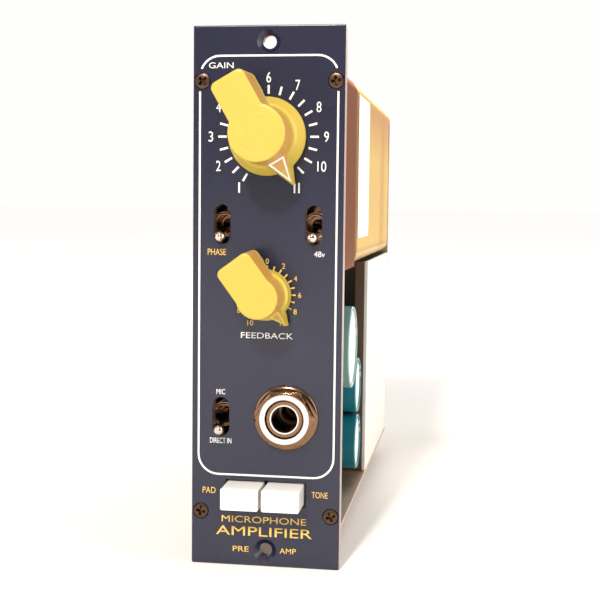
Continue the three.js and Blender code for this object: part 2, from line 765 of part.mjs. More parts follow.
function rotaryControl(name, y, pot, knob) {
  const at = [0, y, 0];
  piece(`${name}_pot_body`, potBody(pot), 'steel', { at });
  piece(`${name}_washer`, tube(pot.washer, pot.bushing + fit, seat, seat + washerThick), 'chrome', { at });
  piece(`${name}_nut`, potNut(pot), 'chrome', { at });
  const turning = turnedGroup(at, [0, 0, -degrees(knob.angle)]);
  piece(`${name}_shaft`, potShaft(pot, knob.height - shaftBelowTop), 'brass', { parent: turning });
  piece(`${name}_knob`, pointerKnob(knob, pot.shaft), 'yellow', { parent: turning });
  const screwStart = pot.shaft + 2 * fit;
  const setScrew = cut(
    post(setScrewRadius, 0, knob.boss - screwStart - setScrewSunk, { sides: 16 }),
    hexPrism(setScrewFlats, 1, knob.boss),
  );
  piece(`${name}_set_screw`, setScrew, 'bronze', {
    at: [screwStart, 0, knob.skirtTop + setScrewRise], turn: alongX, parent: turning,
  });
}

rotaryControl('gain', gainY, gainPot, gainKnob);
rotaryControl('feedback', feedbackY, feedbackPot, feedbackKnob);

// ---------------------------------------------------------------- toggle switches

function toggleSwitchBody() {
  const { halfWidth, halfHeight, setback } = toggleBody;
  const front = panelThick + setback;
  const rear = -controlBoardDepth + seat;
  const outer = join(
    block(-halfWidth, halfWidth, -halfHeight, halfHeight, rear, -front),
    post(toggleBushing, -front - 1, panelBack - toggleBushingSetback),
  );
  return cut(outer, post(toggleBore, -pivotDepth - toggleBoreBehindPivot, 0));
}

// A bat lever drawn upright on its pivot ball, with a ball tip
function batLever() {
  const arc = (radius, middle, from, to, steps) => Array.from({ length: steps + 1 }, (_, step) => {
    const angle = degrees(from + ((to - from) * step) / steps);
    return [radius * Math.cos(angle), middle + radius * Math.sin(angle)];
  });
  const profile = [
    ...arc(leverPivotRadius, 0, -90, 55, 4),
    [leverNeckRadius, leverPivotRadius + 1],
    [leverNeckRadius * 1.25, leverLength - 2.6 * leverTipRadius],
    ...arc(leverTipRadius, leverLength - leverTipRadius, -40, 90, 5),
  ];
  profile[0][0] = 0;
  profile[profile.length - 1][0] = 0;
  return turned(profile, 12);
}

const toggles = {
  phase: [-toggleX, toggleY],
  phantom: [toggleX, toggleY],
  input: [-toggleX, inputSwitchY],
};
Object.entries(toggles).forEach(([name, [x, y]]) => {
  piece(`${name}_switch_body`, toggleSwitchBody(), 'chrome', { at: [x, y, 0] });
  piece(`${name}_lever`, batLever(), 'chrome', {
    at: [x, y, -pivotDepth], turn: [degrees(leverTilt), 0, 0],
  });
});

// ---------------------------------------------------------------- jack socket

const jackPlace = { at: [jackX, jackY, 0] };
const jackBushingRear = panelBack - jackBushingTail;
const plugBore = plugRadius + running;

function jackSocketBody() {
  const { halfWidth, halfHeight, rear } = jackBody;
  return cut(
    block(-halfWidth, halfWidth, -halfHeight, halfHeight, -rear, panelBack - seat),
    post(jackBushing + fit, jackBushingRear - seat, 0),
    post(plugBore + fit, jackBackWall - rear, 0),
  );
}

function jackNut() {
  const low = 2 * seat + jackWasherThick;
  const solid = join(
    hexPrism(jackNutFlats, low, low + jackNutThick),
    post(jackNutCollar, low, low + jackNutThick + jackNutCollarRise, { sides: 30 }),
  );
  return cut(solid, post(jackBushing + fit, 0, 5));
}

piece('jack_body', jackSocketBody(), 'black', jackPlace);
piece('jack_bushing', tube(jackBushing, plugBore, jackBushingRear, jackFront), 'chrome', jackPlace);
const dressWasher = tube(jackWasher, jackBushing + fit, seat, seat + jackWasherThick, { sides: 30 });
piece('jack_washer', dressWasher, 'chrome', jackPlace);
piece('jack_nut', jackNut(), 'chrome', jackPlace);

// ---------------------------------------------------------------- push buttons

const capRear = panelBack + buttonRear;
const plungerRear = capRear - buttonTravel - plungerLength;
const pushSwitchFront = capRear - buttonTravel - 1;

// A square-edged cap on a slim plunger that slides into the switch
function pushButton() {
  const halfWidth = buttonWidth / 2;
  const halfHeight = buttonHeight / 2;
  const soft = {
    topLeft: buttonCorner, topRight: buttonCorner, lowRight: buttonCorner, lowLeft: buttonCorner,
  };
  return join(
    prism(rounded(-halfWidth, halfWidth, -halfHeight, halfHeight, soft), capRear, buttonOut, 3),
    block(-plungerHalf, plungerHalf, -plungerHalf, plungerHalf, plungerRear, capRear + 1),
  );
}

function pushSwitchBody() {
  const room = plungerHalf + fit;
  const half = buttonHeight / 2;
  return cut(
    block(-pushSwitchHalf, pushSwitchHalf, -half, half, -controlBoardDepth + seat, pushSwitchFront),
    block(-room, room, -room, room, plungerRear - buttonTravel - 1, pushSwitchFront + 1),
  );
}

['pad', 'tone'].forEach((name, index) => {
  const at = [(index - 0.5) * buttonPitch, buttonY, 0];
  piece(`${name}_switch_body`, pushSwitchBody(), 'black', { at });
  piece(`${name}_button`, pushButton(), 'white', { at });
});

export default preamp;
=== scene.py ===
"""Fine pieces and finishes for a plug-in microphone preamp module, laid out as a Blender add-on."""

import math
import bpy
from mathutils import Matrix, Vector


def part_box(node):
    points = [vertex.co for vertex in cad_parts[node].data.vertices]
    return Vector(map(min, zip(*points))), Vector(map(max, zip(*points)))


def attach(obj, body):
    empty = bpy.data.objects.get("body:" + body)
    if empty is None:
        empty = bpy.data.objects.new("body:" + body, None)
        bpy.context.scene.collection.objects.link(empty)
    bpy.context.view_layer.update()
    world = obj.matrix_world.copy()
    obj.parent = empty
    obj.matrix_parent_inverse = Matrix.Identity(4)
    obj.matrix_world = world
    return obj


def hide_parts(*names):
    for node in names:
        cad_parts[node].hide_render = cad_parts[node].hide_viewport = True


bl_info = {
    "name": "Preamp Module",
    "version": (1, 0, 0),
    "blender": (4, 5, 0),
    "location": "3D View > Sidebar > Preamp",
    "description": "Builds the fine pieces and finishes of a plug-in microphone preamp",
    "category": "Object",
}

import bmesh
import bpy
from bpy.props import FloatProperty, FloatVectorProperty, IntProperty, PointerProperty
from mathutils import Matrix, Vector
from mathutils.geometry import tessellate_polygon

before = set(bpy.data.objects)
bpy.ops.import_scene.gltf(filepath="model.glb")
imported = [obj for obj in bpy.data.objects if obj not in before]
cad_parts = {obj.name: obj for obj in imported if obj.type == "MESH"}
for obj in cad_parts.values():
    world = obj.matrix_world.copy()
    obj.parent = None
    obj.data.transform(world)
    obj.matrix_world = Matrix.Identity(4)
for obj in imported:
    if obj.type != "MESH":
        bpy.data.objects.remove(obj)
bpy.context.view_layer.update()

MM = 0.001
PANEL_LOW, PANEL_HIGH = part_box("front_panel")
FRONT = PANEL_LOW.y
MIDDLE = (PANEL_LOW.z + PANEL_HIGH.z) / 2
HALF_WIDTH = (PANEL_HIGH.x - PANEL_LOW.x) / 2
HALF_HEIGHT = (PANEL_HIGH.z - PANEL_LOW.z) / 2
PANEL_THICKNESS = PANEL_HIGH.y - PANEL_LOW.y


# ---------------------------------------------------------------- places


def panel_place(x=0.0, y=0.0, out=0.0, turn=0.0):
    """Local x right, y up and z out of the panel's face; a turn runs clockwise from the front."""
    place = Matrix.Translation((x, FRONT - out, MIDDLE + y)) @ Matrix.Rotation(math.pi / 2, 4, "X")
    return place @ Matrix.Rotation(-turn, 4, "Z")


def node_centre(node):
    """The middle of a node's box across the panel: x from the left and y up from the panel's middle."""
    low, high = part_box(node)
    return (low.x + high.x) / 2, (low.z + high.z) / 2 - MIDDLE


def over_node(node, turn=0.0):
    """A place on the panel's face over the middle of a node."""
    return panel_place(*node_centre(node), turn=turn)


def beside_node(node):
    """Local z to the right, from the left end of a node that lies across the module."""
    low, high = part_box(node)
    middle = Vector((low.x, (low.y + high.y) / 2, (low.z + high.z) / 2))
    return Matrix.Translation(middle) @ Matrix.Rotation(math.pi / 2, 4, "Y")


# ---------------------------------------------------------------- outlines and profiles


def circle(radius, steps, x=0.0, y=0.0):
    """A round outline that can grow."""
    angles = [2 * math.pi * step / steps for step in range(steps)]
    return lambda grow: [(x + (radius + grow) * math.cos(a),
        y + (radius + grow) * math.sin(a)) for a in angles]


def rectangle(x0, x1, y0, y1, radius, steps=6):
    """A rectangular outline with rounded corners that can grow."""

    def outline(grow):
        corner = max(radius + grow, 1e-6)
        centres = [(x1 - radius, y1 - radius), (x0 + radius, y1 - radius)]
        centres += [(x0 + radius, y0 + radius), (x1 - radius, y0 + radius)]
        points = []
        for quarter, (cx, cy) in enumerate(centres):
            for step in range(steps + 1):
                a = math.pi / 2 * (quarter + step / steps)
                points.append((cx + corner * math.cos(a), cy + corner * math.sin(a)))
        return points

    return outline


def slot(x, y, half_width, half_height, steps=18):
    """An upright slot with round ends that can grow."""
    reach = half_height - half_width

    def outline(grow):
        radius = half_width + grow
        arcs = [(y + reach, 0.0), (y - reach, math.pi)]
        return [
            (x + radius * math.cos(start + math.pi * step / steps),
                cy + radius * math.sin(start + math.pi * step / steps))
            for cy, start in arcs
            for step in range(steps + 1)
        ]

    return outline


def soft_rim(edge, front, back, way, steps=4):
    """Grow and height pairs down a wall with two rounded rims; way is 1 in a hole, -1 outside."""
    arc = [math.pi / 2 * step / steps for step in range(steps + 1)]
    upper = [(way * edge * (1 - math.sin(a)), front - edge * (1 - math.cos(a))) for a in arc]
    lower = [(grow, back + front - height) for grow, height in reversed(upper)]
    return upper + lower


# ---------------------------------------------------------------- meshes


def new_object(name, mesh):
    made = bpy.data.objects.new(name, mesh)
    bpy.context.scene.collection.objects.link(made)
    return made


def mesh_from(name, points, faces, place=None):
    """A mesh with its points moved to their place, its doubles merged and its faces pointing outwards."""
    shape = bmesh.new()
    moved = [shape.verts.new(place @ Vector(p) if place else Vector(p)) for p in points]
    for face in faces:
        if len(set(face)) > 2:
            shape.faces.new([moved[i] for i in face])
    bmesh.ops.remove_doubles(shape, verts=shape.verts, dist=1e-7)
    bmesh.ops.dissolve_degenerate(shape, edges=shape.edges, dist=1e-8)
    bmesh.ops.recalc_face_normals(shape, faces=shape.faces)
    mesh = bpy.data.meshes.new(name)
    shape.to_mesh(mesh)
    shape.free()
    return mesh


def skin(rings, loop=False):
    """Points and faces over rings of equal length; an open run of rings gets a cap at each end."""
    count = len(rings[0])
    points = [tuple(p) for ring in rings for p in ring]
    faces = []
    for low in range(len(rings) if loop else len(rings) - 1):
        high = (low + 1) % len(rings)
        for i in range(count):
            j = (i + 1) % count
            faces.append((low * count + i, low * count + j, high * count + j, high * count + i))
    if not loop:
        faces.append(tuple(range(count)))
        faces.append(tuple(range((len(rings) - 1) * count, len(rings) * count)))
    return points, faces


def turned(profile, sides=48, loop=False, place=None, name="turned"):
    """A mesh turned about local z from radius and height pairs, which end on the axis or close in a loop."""
    angles = [2 * math.pi * step / sides for step in range(sides)]
    rings = [[(r * math.cos(a), r * math.sin(a), z) for a in angles] for r, z in profile]
    points, faces = skin(rings, loop)
    return mesh_from(name, points, faces if loop else faces[:-2], place)


def lofted(layers, place=None, name="lofted", loop=False):
    """A mesh over outlines at their heights, from pairs of outline points and height."""
    rings = [[(x, y, z) for x, y in outline] for outline, z in layers]
    return mesh_from(name, *skin(rings, loop), place)


def plate(outer, holes, place=None, name="plate"):
    """A plate whose outline and holes are outlines with rim profiles, each run from front to back."""
    points, faces, starts = [], [], []
    for outline, profile in [outer, *holes]:
        rings = [[(x, y, z) for x, y in outline(grow)] for grow, z in profile]
        offset, count = len(points), len(rings[0])
        ring_points, ring_faces = skin(rings)
        points += ring_points
        faces += [tuple(i + offset for i in face) for face in ring_faces[:-2]]
        starts.append((offset, offset + (len(rings) - 1) * count, count))
    for end in (0, 1):
        index = [run[end] + i for run in starts for i in range(run[2])]
        loops = [[Vector(points[run[end] + i]) for i in range(run[2])] for run in starts]
        faces += [tuple(index[i] for i in triangle) for triangle in tessellate_polygon(loops)]
    return mesh_from(name, points, faces, place)


def ribbon(path, width, low, high, loop=False, place=None, name="ribbon"):
    """A flat strip of ink along a path on local x and y, with mitred turns."""
    rings = []
    for i, (x, y) in enumerate(path):
        before = path[i - 1] if loop or i else path[i]
        after = path[(i + 1) % len(path)] if loop or i + 1 < len(path) else path[i]
        into = Vector((x - before[0], y - before[1]))
        onto = Vector((after[0] - x, after[1] - y))
        into = into.normalized() if into.length else onto.normalized()
        onto = onto.normalized() if onto.length else into
        normal = Vector((-into.y - onto.y, into.x + onto.x)).normalized()
        reach = width / 2 / max(normal.dot(Vector((-into.y, into.x))), 0.35)
        side = normal * reach
        rings.append([(x + side.x, y + side.y, low), (x + side.x, y + side.y, high),
                      (x - side.x, y - side.y, high), (x - side.x, y - side.y, low)])
    return mesh_from(name, *skin(rings, loop), place)


def lettering(text, x0, x1, y0, y1, low, high):
    """Text as a closed mesh that fills a box on local x and y."""
    curve = bpy.data.curves.new("lettering", "FONT")
    curve.body = text
    curve.extrude = 0.5
    curve.resolution_u = 6
    holder = new_object("lettering", curve)
    graph = bpy.context.evaluated_depsgraph_get()
    mesh = bpy.data.meshes.new_from_object(holder.evaluated_get(graph), depsgraph=graph)
    bpy.data.objects.remove(holder)
    bpy.data.curves.remove(curve)
    xs = [v.co.x for v in mesh.vertices]
    ys = [v.co.y for v in mesh.vertices]
    scale_x = (x1 - x0) / (max(xs) - min(xs))
    scale_y = (y1 - y0) / (max(ys) - min(ys))
    for v in mesh.vertices:
        v.co = (x0 + (v.co.x - min(xs)) * scale_x, y0 + (v.co.y - min(ys)) * scale_y,
            low + (v.co.z + 0.5) * (high - low))
    return mesh


def joined(name, meshes, place=None):
    """One mesh out of several, each of them a closed body of its own."""
    shape = bmesh.new()
    for mesh in meshes:
        shape.from_mesh(mesh)
        bpy.data.meshes.remove(mesh)
    if place:
        bmesh.ops.transform(shape, matrix=place, verts=shape.verts)
    bmesh.ops.remove_doubles(shape, verts=shape.verts, dist=1e-8)
    result = bpy.data.meshes.new(name)
    shape.to_mesh(result)
    shape.free()
    return result


def applied(made):
    """Turns an object's modifiers into its plain mesh."""
    graph = bpy.context.evaluated_depsgraph_get()
    mesh = bpy.data.meshes.new_from_object(made.evaluated_get(graph), depsgraph=graph)
    made.modifiers.clear()
    made.data = mesh
    return made


def cut_away(made, cutter_mesh):
    """Takes a closed cutter out of an object."""
    cutter = new_object("cutter", cutter_mesh)
    modifier = made.modifiers.new("cut", "BOOLEAN")
    modifier.operation = "DIFFERENCE"
    modifier.solver = "EXACT"
    modifier.object = cutter
    applied(made)
    bpy.data.objects.remove(cutter)
    return made


def eased_copy(node, edge, least_angle=40):
    """A copy of a frame node with its flat faces joined up and its sharp edges rounded."""
    shape = bmesh.new()
    shape.from_mesh(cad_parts[node].data)
    bmesh.ops.remove_doubles(shape, verts=shape.verts, dist=1e-6)
    bmesh.ops.dissolve_limit(shape, angle_limit=math.radians(1), verts=shape.verts, edges=shape.edges)
    mesh = bpy.data.meshes.new(f"{node}_fine")
    shape.to_mesh(mesh)
    shape.free()
    made = new_object(f"{node}_fine", mesh)
    modifier = made.modifiers.new("eased edges", "BEVEL")
    modifier.width = edge
    modifier.segments = 2
    modifier.limit_method = "ANGLE"
    modifier.angle_limit = math.radians(least_angle)
    return applied(made)


def finished(made, material, body="root", stands_for=(), sharp=32):
    """Smooths a piece, gives it its finish, hangs it on its body and hides the nodes that it stands for."""
    if isinstance(made, tuple):
        made = new_object(*made)
    made.data.materials.clear()
    made.data.materials.append(material)
    made.data.shade_smooth()
    made.data.set_sharp_from_angle(angle=math.radians(sharp))
    weighted = made.modifiers.new("weighted normals", "WEIGHTED_NORMAL")
    weighted.keep_sharp = True
    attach(made, body)
    if stands_for:
        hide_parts(*([stands_for] if isinstance(stands_for, str) else stands_for))
    return made


# ---------------------------------------------------------------- node trees


class Wire:
    """An output socket that takes part in plain arithmetic."""

    def __init__(self, graph, socket):
        self.graph = graph
        self.socket = socket

    def math(self, operation, *others):
        """One Math node on this value and any others."""
        return self.graph.node("ShaderNodeMath", {"operation": operation}, dict(enumerate([self, *others])))

    def of(self, output):
        """Another output of the same node."""
        return Wire(self.graph, self.socket.node.outputs[output])

    def __add__(self, other):
        return self.math("ADD", other)

    __radd__ = __add__

    def __mul__(self, other):
        return self.math("MULTIPLY", other)

    __rmul__ = __mul__

    def __sub__(self, other):
        return self.math("SUBTRACT", other)

    def __rsub__(self, other):
        return self.math("MULTIPLY", -1.0) + other

    def __truediv__(self, other):
        return self.math("DIVIDE", other)

    def __mod__(self, other):
        return self.math("FLOORED_MODULO", other)

    def __pow__(self, other):
        return self.math("POWER", other)

    def __abs__(self):
        return self.math("ABSOLUTE")

    def __gt__(self, other):
        return self.math("GREATER_THAN", other)

    def __lt__(self, other):
        return self.math("LESS_THAN", other)


class Graph:
    """Adds nodes to the tree of a material, a world or a geometry modifier."""

    def __init__(self, tree):
        self.tree = tree
        tree.nodes.clear()

    def node(self, kind, settings=None, inputs=None, out=0):
        """Makes a node, sets it up, and fills its sockets with values or links."""
        made = self.tree.nodes.new(kind)
        for key, value in (settings or {}).items():
            if key == "stops":
                self.set_stops(made.color_ramp, value)
            else:
                setattr(made, key, value)
        for key, value in (inputs or {}).items():
            if isinstance(value, Wire):
                self.tree.links.new(value.socket, made.inputs[key])
            else:
                made.inputs[key].default_value = value
        return Wire(self, made.outputs[out]) if len(made.outputs) else None

    @staticmethod
    def set_stops(ramp, stops):
        while len(ramp.elements) > 1:
            ramp.elements.remove(ramp.elements[-1])
        for index, (position, colour) in enumerate(stops):
            element = ramp.elements[0] if index == 0 else ramp.elements.new(position)
            element.position = position
            element.color = (*colour, 1.0)

    def mix(self, factor, first, second):
        """A colour between two colours."""
        pair = {6: first, 7: second}
        inputs = {key: value if isinstance(value, Wire) else (*value[:3], 1.0) for key, value in pair.items()}
        return self.node("ShaderNodeMix", {"data_type": "RGBA"}, {0: factor, **inputs}, out=2)

    def noise(self, where, size, detail=2.0, stretch=(1.0, 1.0, 1.0)):
        """Soft noise from 0 to 1 with patches of the given size in metres."""
        scaled = self.node(
            "ShaderNodeVectorMath", {"operation": "MULTIPLY"}, {0: where, 1: tuple(s / size for s in stretch)}
        )
        return self.node("ShaderNodeTexNoise", None, {"Vector": scaled, "Scale": 1.0, "Detail": detail})

    def cells(self, where, size, feature="F1"):
        """Distance to the nearest of scattered points, in cells of the given size."""
        return self.node(
            "ShaderNodeTexVoronoi", {"feature": feature}, {"Vector": where, "Scale": 1 / size}, out="Distance"
        )

    def parts(self, where):
        """The x, y and z of a position."""
        split = self.node("ShaderNodeSeparateXYZ", None, {0: where})
        return split, split.of(1), split.of(2)


FINISHES = {}


def finish(name, paint, constants=None):
    """A material whose paint function gives the varying sockets, with a height in metres for its bump."""
    made = bpy.data.materials.new(name)
    made.use_nodes = True
    graph = Graph(made.node_tree)
    where = graph.node("ShaderNodeTexCoord", out="Object")
    sockets = paint(graph, where)
    height = sockets.pop("height", None)
    if height is not None:
        sockets["Normal"] = graph.node("ShaderNodeBump", None,
            {"Strength": 1.0, "Distance": 1.0, "Height": height})
    shader = graph.node("ShaderNodeBsdfPrincipled", None, {**(constants or {}), **sockets})
    graph.node("ShaderNodeOutputMaterial", None, {"Surface": shader})
    made.diffuse_color = (0.5, 0.5, 0.5, 1.0)
    FINISHES[name] = made
    return made


def painted_metal(colour, mottle, edge_colour, edge_width, rack_hole):
    """Enamel with orange peel, rubbed thin at its edges, bare on its walls except in the rack holes."""

    def paint(graph, where):
        x, y, z = graph.parts(where)
        cloud = graph.noise(where, 12 * MM, 3.0)
        peel = graph.noise(where, 0.55 * MM, 2.0)
        dust = graph.cells(where, 1.3 * MM)
        speck = (dust < 0.06) * (graph.noise(where, 4 * MM, 1.0) > 0.56)
        inside_x = HALF_WIDTH - abs(x)
        inside_z = HALF_HEIGHT - abs(z - MIDDLE)
        edge = inside_x.math("MINIMUM", inside_z) + (graph.noise(where, 0.5 * MM) - 0.5) * edge_width * 0.6
        from_hole = (x ** 2.0 + (abs(z - MIDDLE) - rack_hole[0]) ** 2.0) ** 0.5
        bare = (y > FRONT + 0.3 * MM) * (from_hole > rack_hole[1])
        rubbed = (edge < edge_width).math("MAXIMUM", bare)
        base = graph.mix(cloud, colour, mottle)
        base = graph.mix(speck * 0.25, base, (0.5, 0.48, 0.5))
        return {
            "Base Color": graph.mix(rubbed, base, edge_colour),
            "Metallic": bare * 0.75,
            "Roughness": 0.25 + cloud * 0.08 + speck * 0.2 + rubbed * 0.06,
            "height": peel * 0.004 * MM + speck * 0.006 * MM,
        }

    return paint


def ink(colour):
    """Screen-printed ink with slight pinholes and uneven cover."""

    def paint(graph, where):
        cover = graph.noise(where, 0.35 * MM, 3.0)
        return {
            "Base Color": graph.mix(cover * 0.35, colour, [c * 0.72 for c in colour]),
            "Roughness": 0.42 + cover * 0.2,
            "height": cover * 0.006 * MM,
        }

    return paint


def moulded_plastic(colour, deep, grain=0.3 * MM, shine=0.3, axis=None, sides=None):
    """Moulded plastic with a fine grain and cloudy colour; a knob also has faint rings and painted shade on
    its sides, an orange band up its walls.
    """

    def paint(graph, where):
        cloud = graph.noise(where, 5 * MM, 3.0)
        fine = graph.noise(where, grain, 2.0)
        scuffs = graph.noise(where, 1.2 * MM, 4.0, stretch=(1.0, 0.2, 0.35)) > 0.68
        height = fine * 0.0025 * MM
        base = graph.mix(cloud * 0.6, colour, deep)
        if axis:
            x, y, z = graph.parts(where)
            tone, lowest, highest = sides
            out = FRONT - y
            # painted shade: an orange band on the knob's side walls, between two heights, stands in for the
            # shade that falls on them
            base = graph.mix((out > lowest) * (out < highest) * 0.7, base, tone)
            away = ((x - axis[0]) ** 2.0 + (z - axis[1]) ** 2.0) ** 0.5
            for ring in (1.1 * MM, 2.4 * MM, 4.6 * MM):
                height = height - (1.0 - abs(away - ring) / (0.22 * MM)).math("MAXIMUM", 0.0) * 0.03 * MM
        return {
            "Base Color": base,
            "Roughness": shine + cloud * 0.1 + scuffs * 0.12,
            "height": height,
        }

    return paint


def metal(colour, tint, shine, patch=6 * MM, grain=0.25 * MM, brush=(1.0, 1.0, 1.0), wear=0.0):
    """Metal with drifting tint, fine handling scratches and a brushed or cast grain."""

    def paint(graph, where):
        cloud = graph.noise(where, patch, 3.0)
        fine = graph.noise(where, grain, 3.0, stretch=brush)
        marks = graph.noise(where, 2.2 * MM, 5.0, stretch=(0.25, 1.0, 1.0)) > 0.66
        return {
            "Base Color": graph.mix(cloud, colour, tint),
            "Metallic": 1.0 - wear * cloud,
            "Roughness": shine + cloud * 0.1 + marks * 0.1,
            "height": fine * 0.003 * MM,
        }

    return paint


def gilded(colour, deep, upper, reflected_tan, low, high):
    """Bright gilt on drawn steel with painted reflections, tan at the front and an orange band and orange
    along the top, and painted shade that darkens it beneath.
    """

    def limited(value):
        return value.math("MAXIMUM", 0.0).math("MINIMUM", 1.0)

    def paint(graph, where):
        _, y, z = graph.parts(where)
        cloud = graph.noise(where, 18 * MM, 3.0)
        fine = graph.noise(where, 0.4 * MM, 3.0)
        drift = (graph.noise(where, 9 * MM, 2.0) - 0.5) * 6 * MM
        # painted reflection: a tan band at the can's front
        front = limited((low.y + 7 * MM - y) / (3 * MM))
        # painted reflection: an orange band across the can, 84 mm back from its front
        stripe = limited(1.0 - abs(y + drift - (low.y + 84 * MM)) / (13 * MM))
        # painted reflection: orange along the can's top
        top = limited((z + drift - (high.z - 20 * MM)) / (14 * MM))
        # painted shade: darker along the can's bottom
        bottom = limited((low.z + 5 * MM - z) / (3 * MM))
        base = graph.mix(stripe * 0.8, colour, deep)
        base = graph.mix(top * 0.85, base, upper)
        base = graph.mix(front, base, reflected_tan)
        base = graph.mix(bottom * 0.85, base, [v * 0.4 for v in reflected_tan])
        return {
            "Base Color": base,
            "Metallic": 1.0 - cloud * 0.1,
            "Roughness": 0.2 + cloud * 0.1,
            "height": fine * 0.003 * MM,
        }

    return paint


def folded_cover(colour, fold_shade, low, high):
    """Pale plated steel whose front fold is coloured dark brown as painted shade."""

    def paint(graph, where):
        x, y, _ = graph.parts(where)
        cloud = graph.noise(where, 14 * MM, 3.0)
        fine = graph.noise(where, 0.25 * MM, 3.0, stretch=(1.0, 0.08, 1.0))
        # painted shade: the fold at the cover's front edge is coloured dark brown
        shaded_fold = (y < low.y + 1.05 * MM) * (x < high.x - 1.0 * MM)
        pale = graph.mix(cloud, colour, [v * 0.9 for v in colour])
        return {
            "Base Color": graph.mix(shaded_fold, pale, fold_shade),
            "Metallic": 0.5 - cloud * 0.3,
            "Roughness": 0.36 + cloud * 0.12,
            "height": fine * 0.003 * MM,
        }

    return paint


def laminate(colour, trace):
    """Glass-fibre board with masked copper traces, pads and a woven grain."""

    def paint(graph, where):
        _, y, z = graph.parts(where)
        weave = graph.node("ShaderNodeTexChecker", None, {"Vector": where, "Scale": 1 / (0.4 * MM)}, out=1)
        lanes = abs(((y + graph.noise(where, 16 * MM, 0.0) * 6 * MM) % (2.2 * MM)) - 1.1 * MM) < 0.32 * MM
        across = abs(((z + graph.noise(where, 22 * MM, 0.0) * 8 * MM) % (3.1 * MM)) - 1.55 * MM) < 0.3 * MM
        region = graph.noise(where, 14 * MM, 0.0) > 0.5
        traces = lanes * region + across * (1.0 - region)
        pads = graph.cells(where, 3.4 * MM) < 0.2
        copper = traces.math("MAXIMUM", pads)
        base = graph.mix(copper, colour, trace)
        return {
            "Base Color": graph.mix(weave * 0.12, base, [c * 0.6 for c in colour]),
            "Roughness": 0.34 + weave * 0.08 + graph.noise(where, 9 * MM) * 0.12,
            "height": copper * 0.03 * MM + weave * 0.002 * MM,
        }

    return paint


def sleeve(colour, band, axis_y, axis_z):
    """Shrink sleeve on a capacitor, with a paler polarity stripe and short dashes down one side."""

    def paint(graph, where):
        x, y, z = graph.parts(where)
        angle = (z - axis_z).math("ARCTAN2", y - axis_y)
        stripe = abs(angle - 0.5) < 0.3
        dash = stripe * (abs(angle - 0.5) < 0.07) * ((x % (5 * MM)) < 2.6 * MM)
        cloud = graph.noise(where, 7 * MM, 3.0)
        base = graph.mix(cloud * 0.5, colour, [c * 0.75 for c in colour])
        base = graph.mix(stripe * (1.0 - dash), base, band)
        return {
            "Base Color": base,
            "Roughness": 0.28 + cloud * 0.15,
            "height": graph.noise(where, 2.5 * MM, 2.0, stretch=(0.3, 1.0, 1.0)) * 0.02 * MM,
        }

    return paint


def paper(colour):
    """A plain paper label with fibres and a little yellowing."""

    def paint(graph, where):
        fibre = graph.noise(where, 0.3 * MM, 4.0, stretch=(1.0, 0.4, 1.0))
        stain = graph.noise(where, 20 * MM, 3.0)
        return {
            "Base Color": graph.mix(stain * 0.5, colour, [colour[0], colour[1] * 0.97, colour[2] * 0.9]),
            "Roughness": 0.62 + fibre * 0.2,
            "height": fibre * 0.01 * MM,
        }

    return paint


def striped(first, second, pitch, share, direction, shine, metallic=0.0, relief=0.05 * MM):
    """Even stripes along one direction, such as laminations or the turns of a winding."""

    def paint(graph, where):
        along = graph.parts(where)[direction] + (graph.noise(where, 5 * MM) - 0.5) * pitch * 0.3
        stripe = abs((along % pitch) - pitch / 2) < pitch * share / 2
        cloud = graph.noise(where, 4 * MM, 3.0)
        return {
            "Base Color": graph.mix(stripe, graph.mix(cloud * 0.5, first, [c * 0.7 for c in first]), second),
            "Metallic": metallic,
            "Roughness": shine + cloud * 0.15,
            "height": stripe * relief * -1.0,
        }

    return paint


def floor_paint(graph, where):
    """Matt white sheet with a very faint unevenness, which glows far out so that it has no visible end."""
    cloud = graph.noise(where, 0.2, 3.0)
    x, y, _ = graph.parts(where)
    away = (((x ** 2.0 + y ** 2.0) ** 0.5 - 0.25) / 0.75).math("MAXIMUM", 0.0).math("MINIMUM", 1.0)
    return {
        "Base Color": graph.mix(cloud, (0.93, 0.92, 0.9), (0.9, 0.89, 0.87)),
        "Emission Color": graph.mix(away, (0.0, 0.0, 0.0), (1.0, 0.99, 0.975)),
        "Roughness": 0.75 + cloud * 0.1,
    }


# ---------------------------------------------------------------- sizes and colours


def length(name, value, description):
    return FloatProperty(name=name, description=description, default=value, min=0.0, unit="LENGTH",
        precision=5)


def colour(name, value, description):
    return FloatVectorProperty(name=name, description=description, default=value, size=3, subtype="COLOR",
        min=0, max=1)


class PREAMP_panel_sizes(bpy.types.PropertyGroup):
    """The front panel's openings and edges."""

    edge: length("Edge", 0.35 * MM, "Rounding of the painted edges")
    hole_edge: length("Hole Edge", 0.2 * MM, "Rounding of the holes' rims")
    rack_hole: length("Rack Hole", 1.65 * MM, "Radius of the rack screw holes")
    rack_rim: length("Rack Hole Rim", 2.85 * MM, "Radius of their countersink")
    rack_sink: length("Rack Hole Sink", 1.2 * MM, "Depth of their countersink")
    rack_inset: length("Rack Hole Inset", 3.98 * MM, "From the panel's ends to the rack screw holes")
    slot_width: length("Slot Width", 4.1 * MM, "Width of the toggle slots")
    slot_height: length("Slot Height", 9.56 * MM, "Height of the toggle slots")
    button_gap: length("Button Gap", 0.4 * MM, "Clearance round the push buttons")


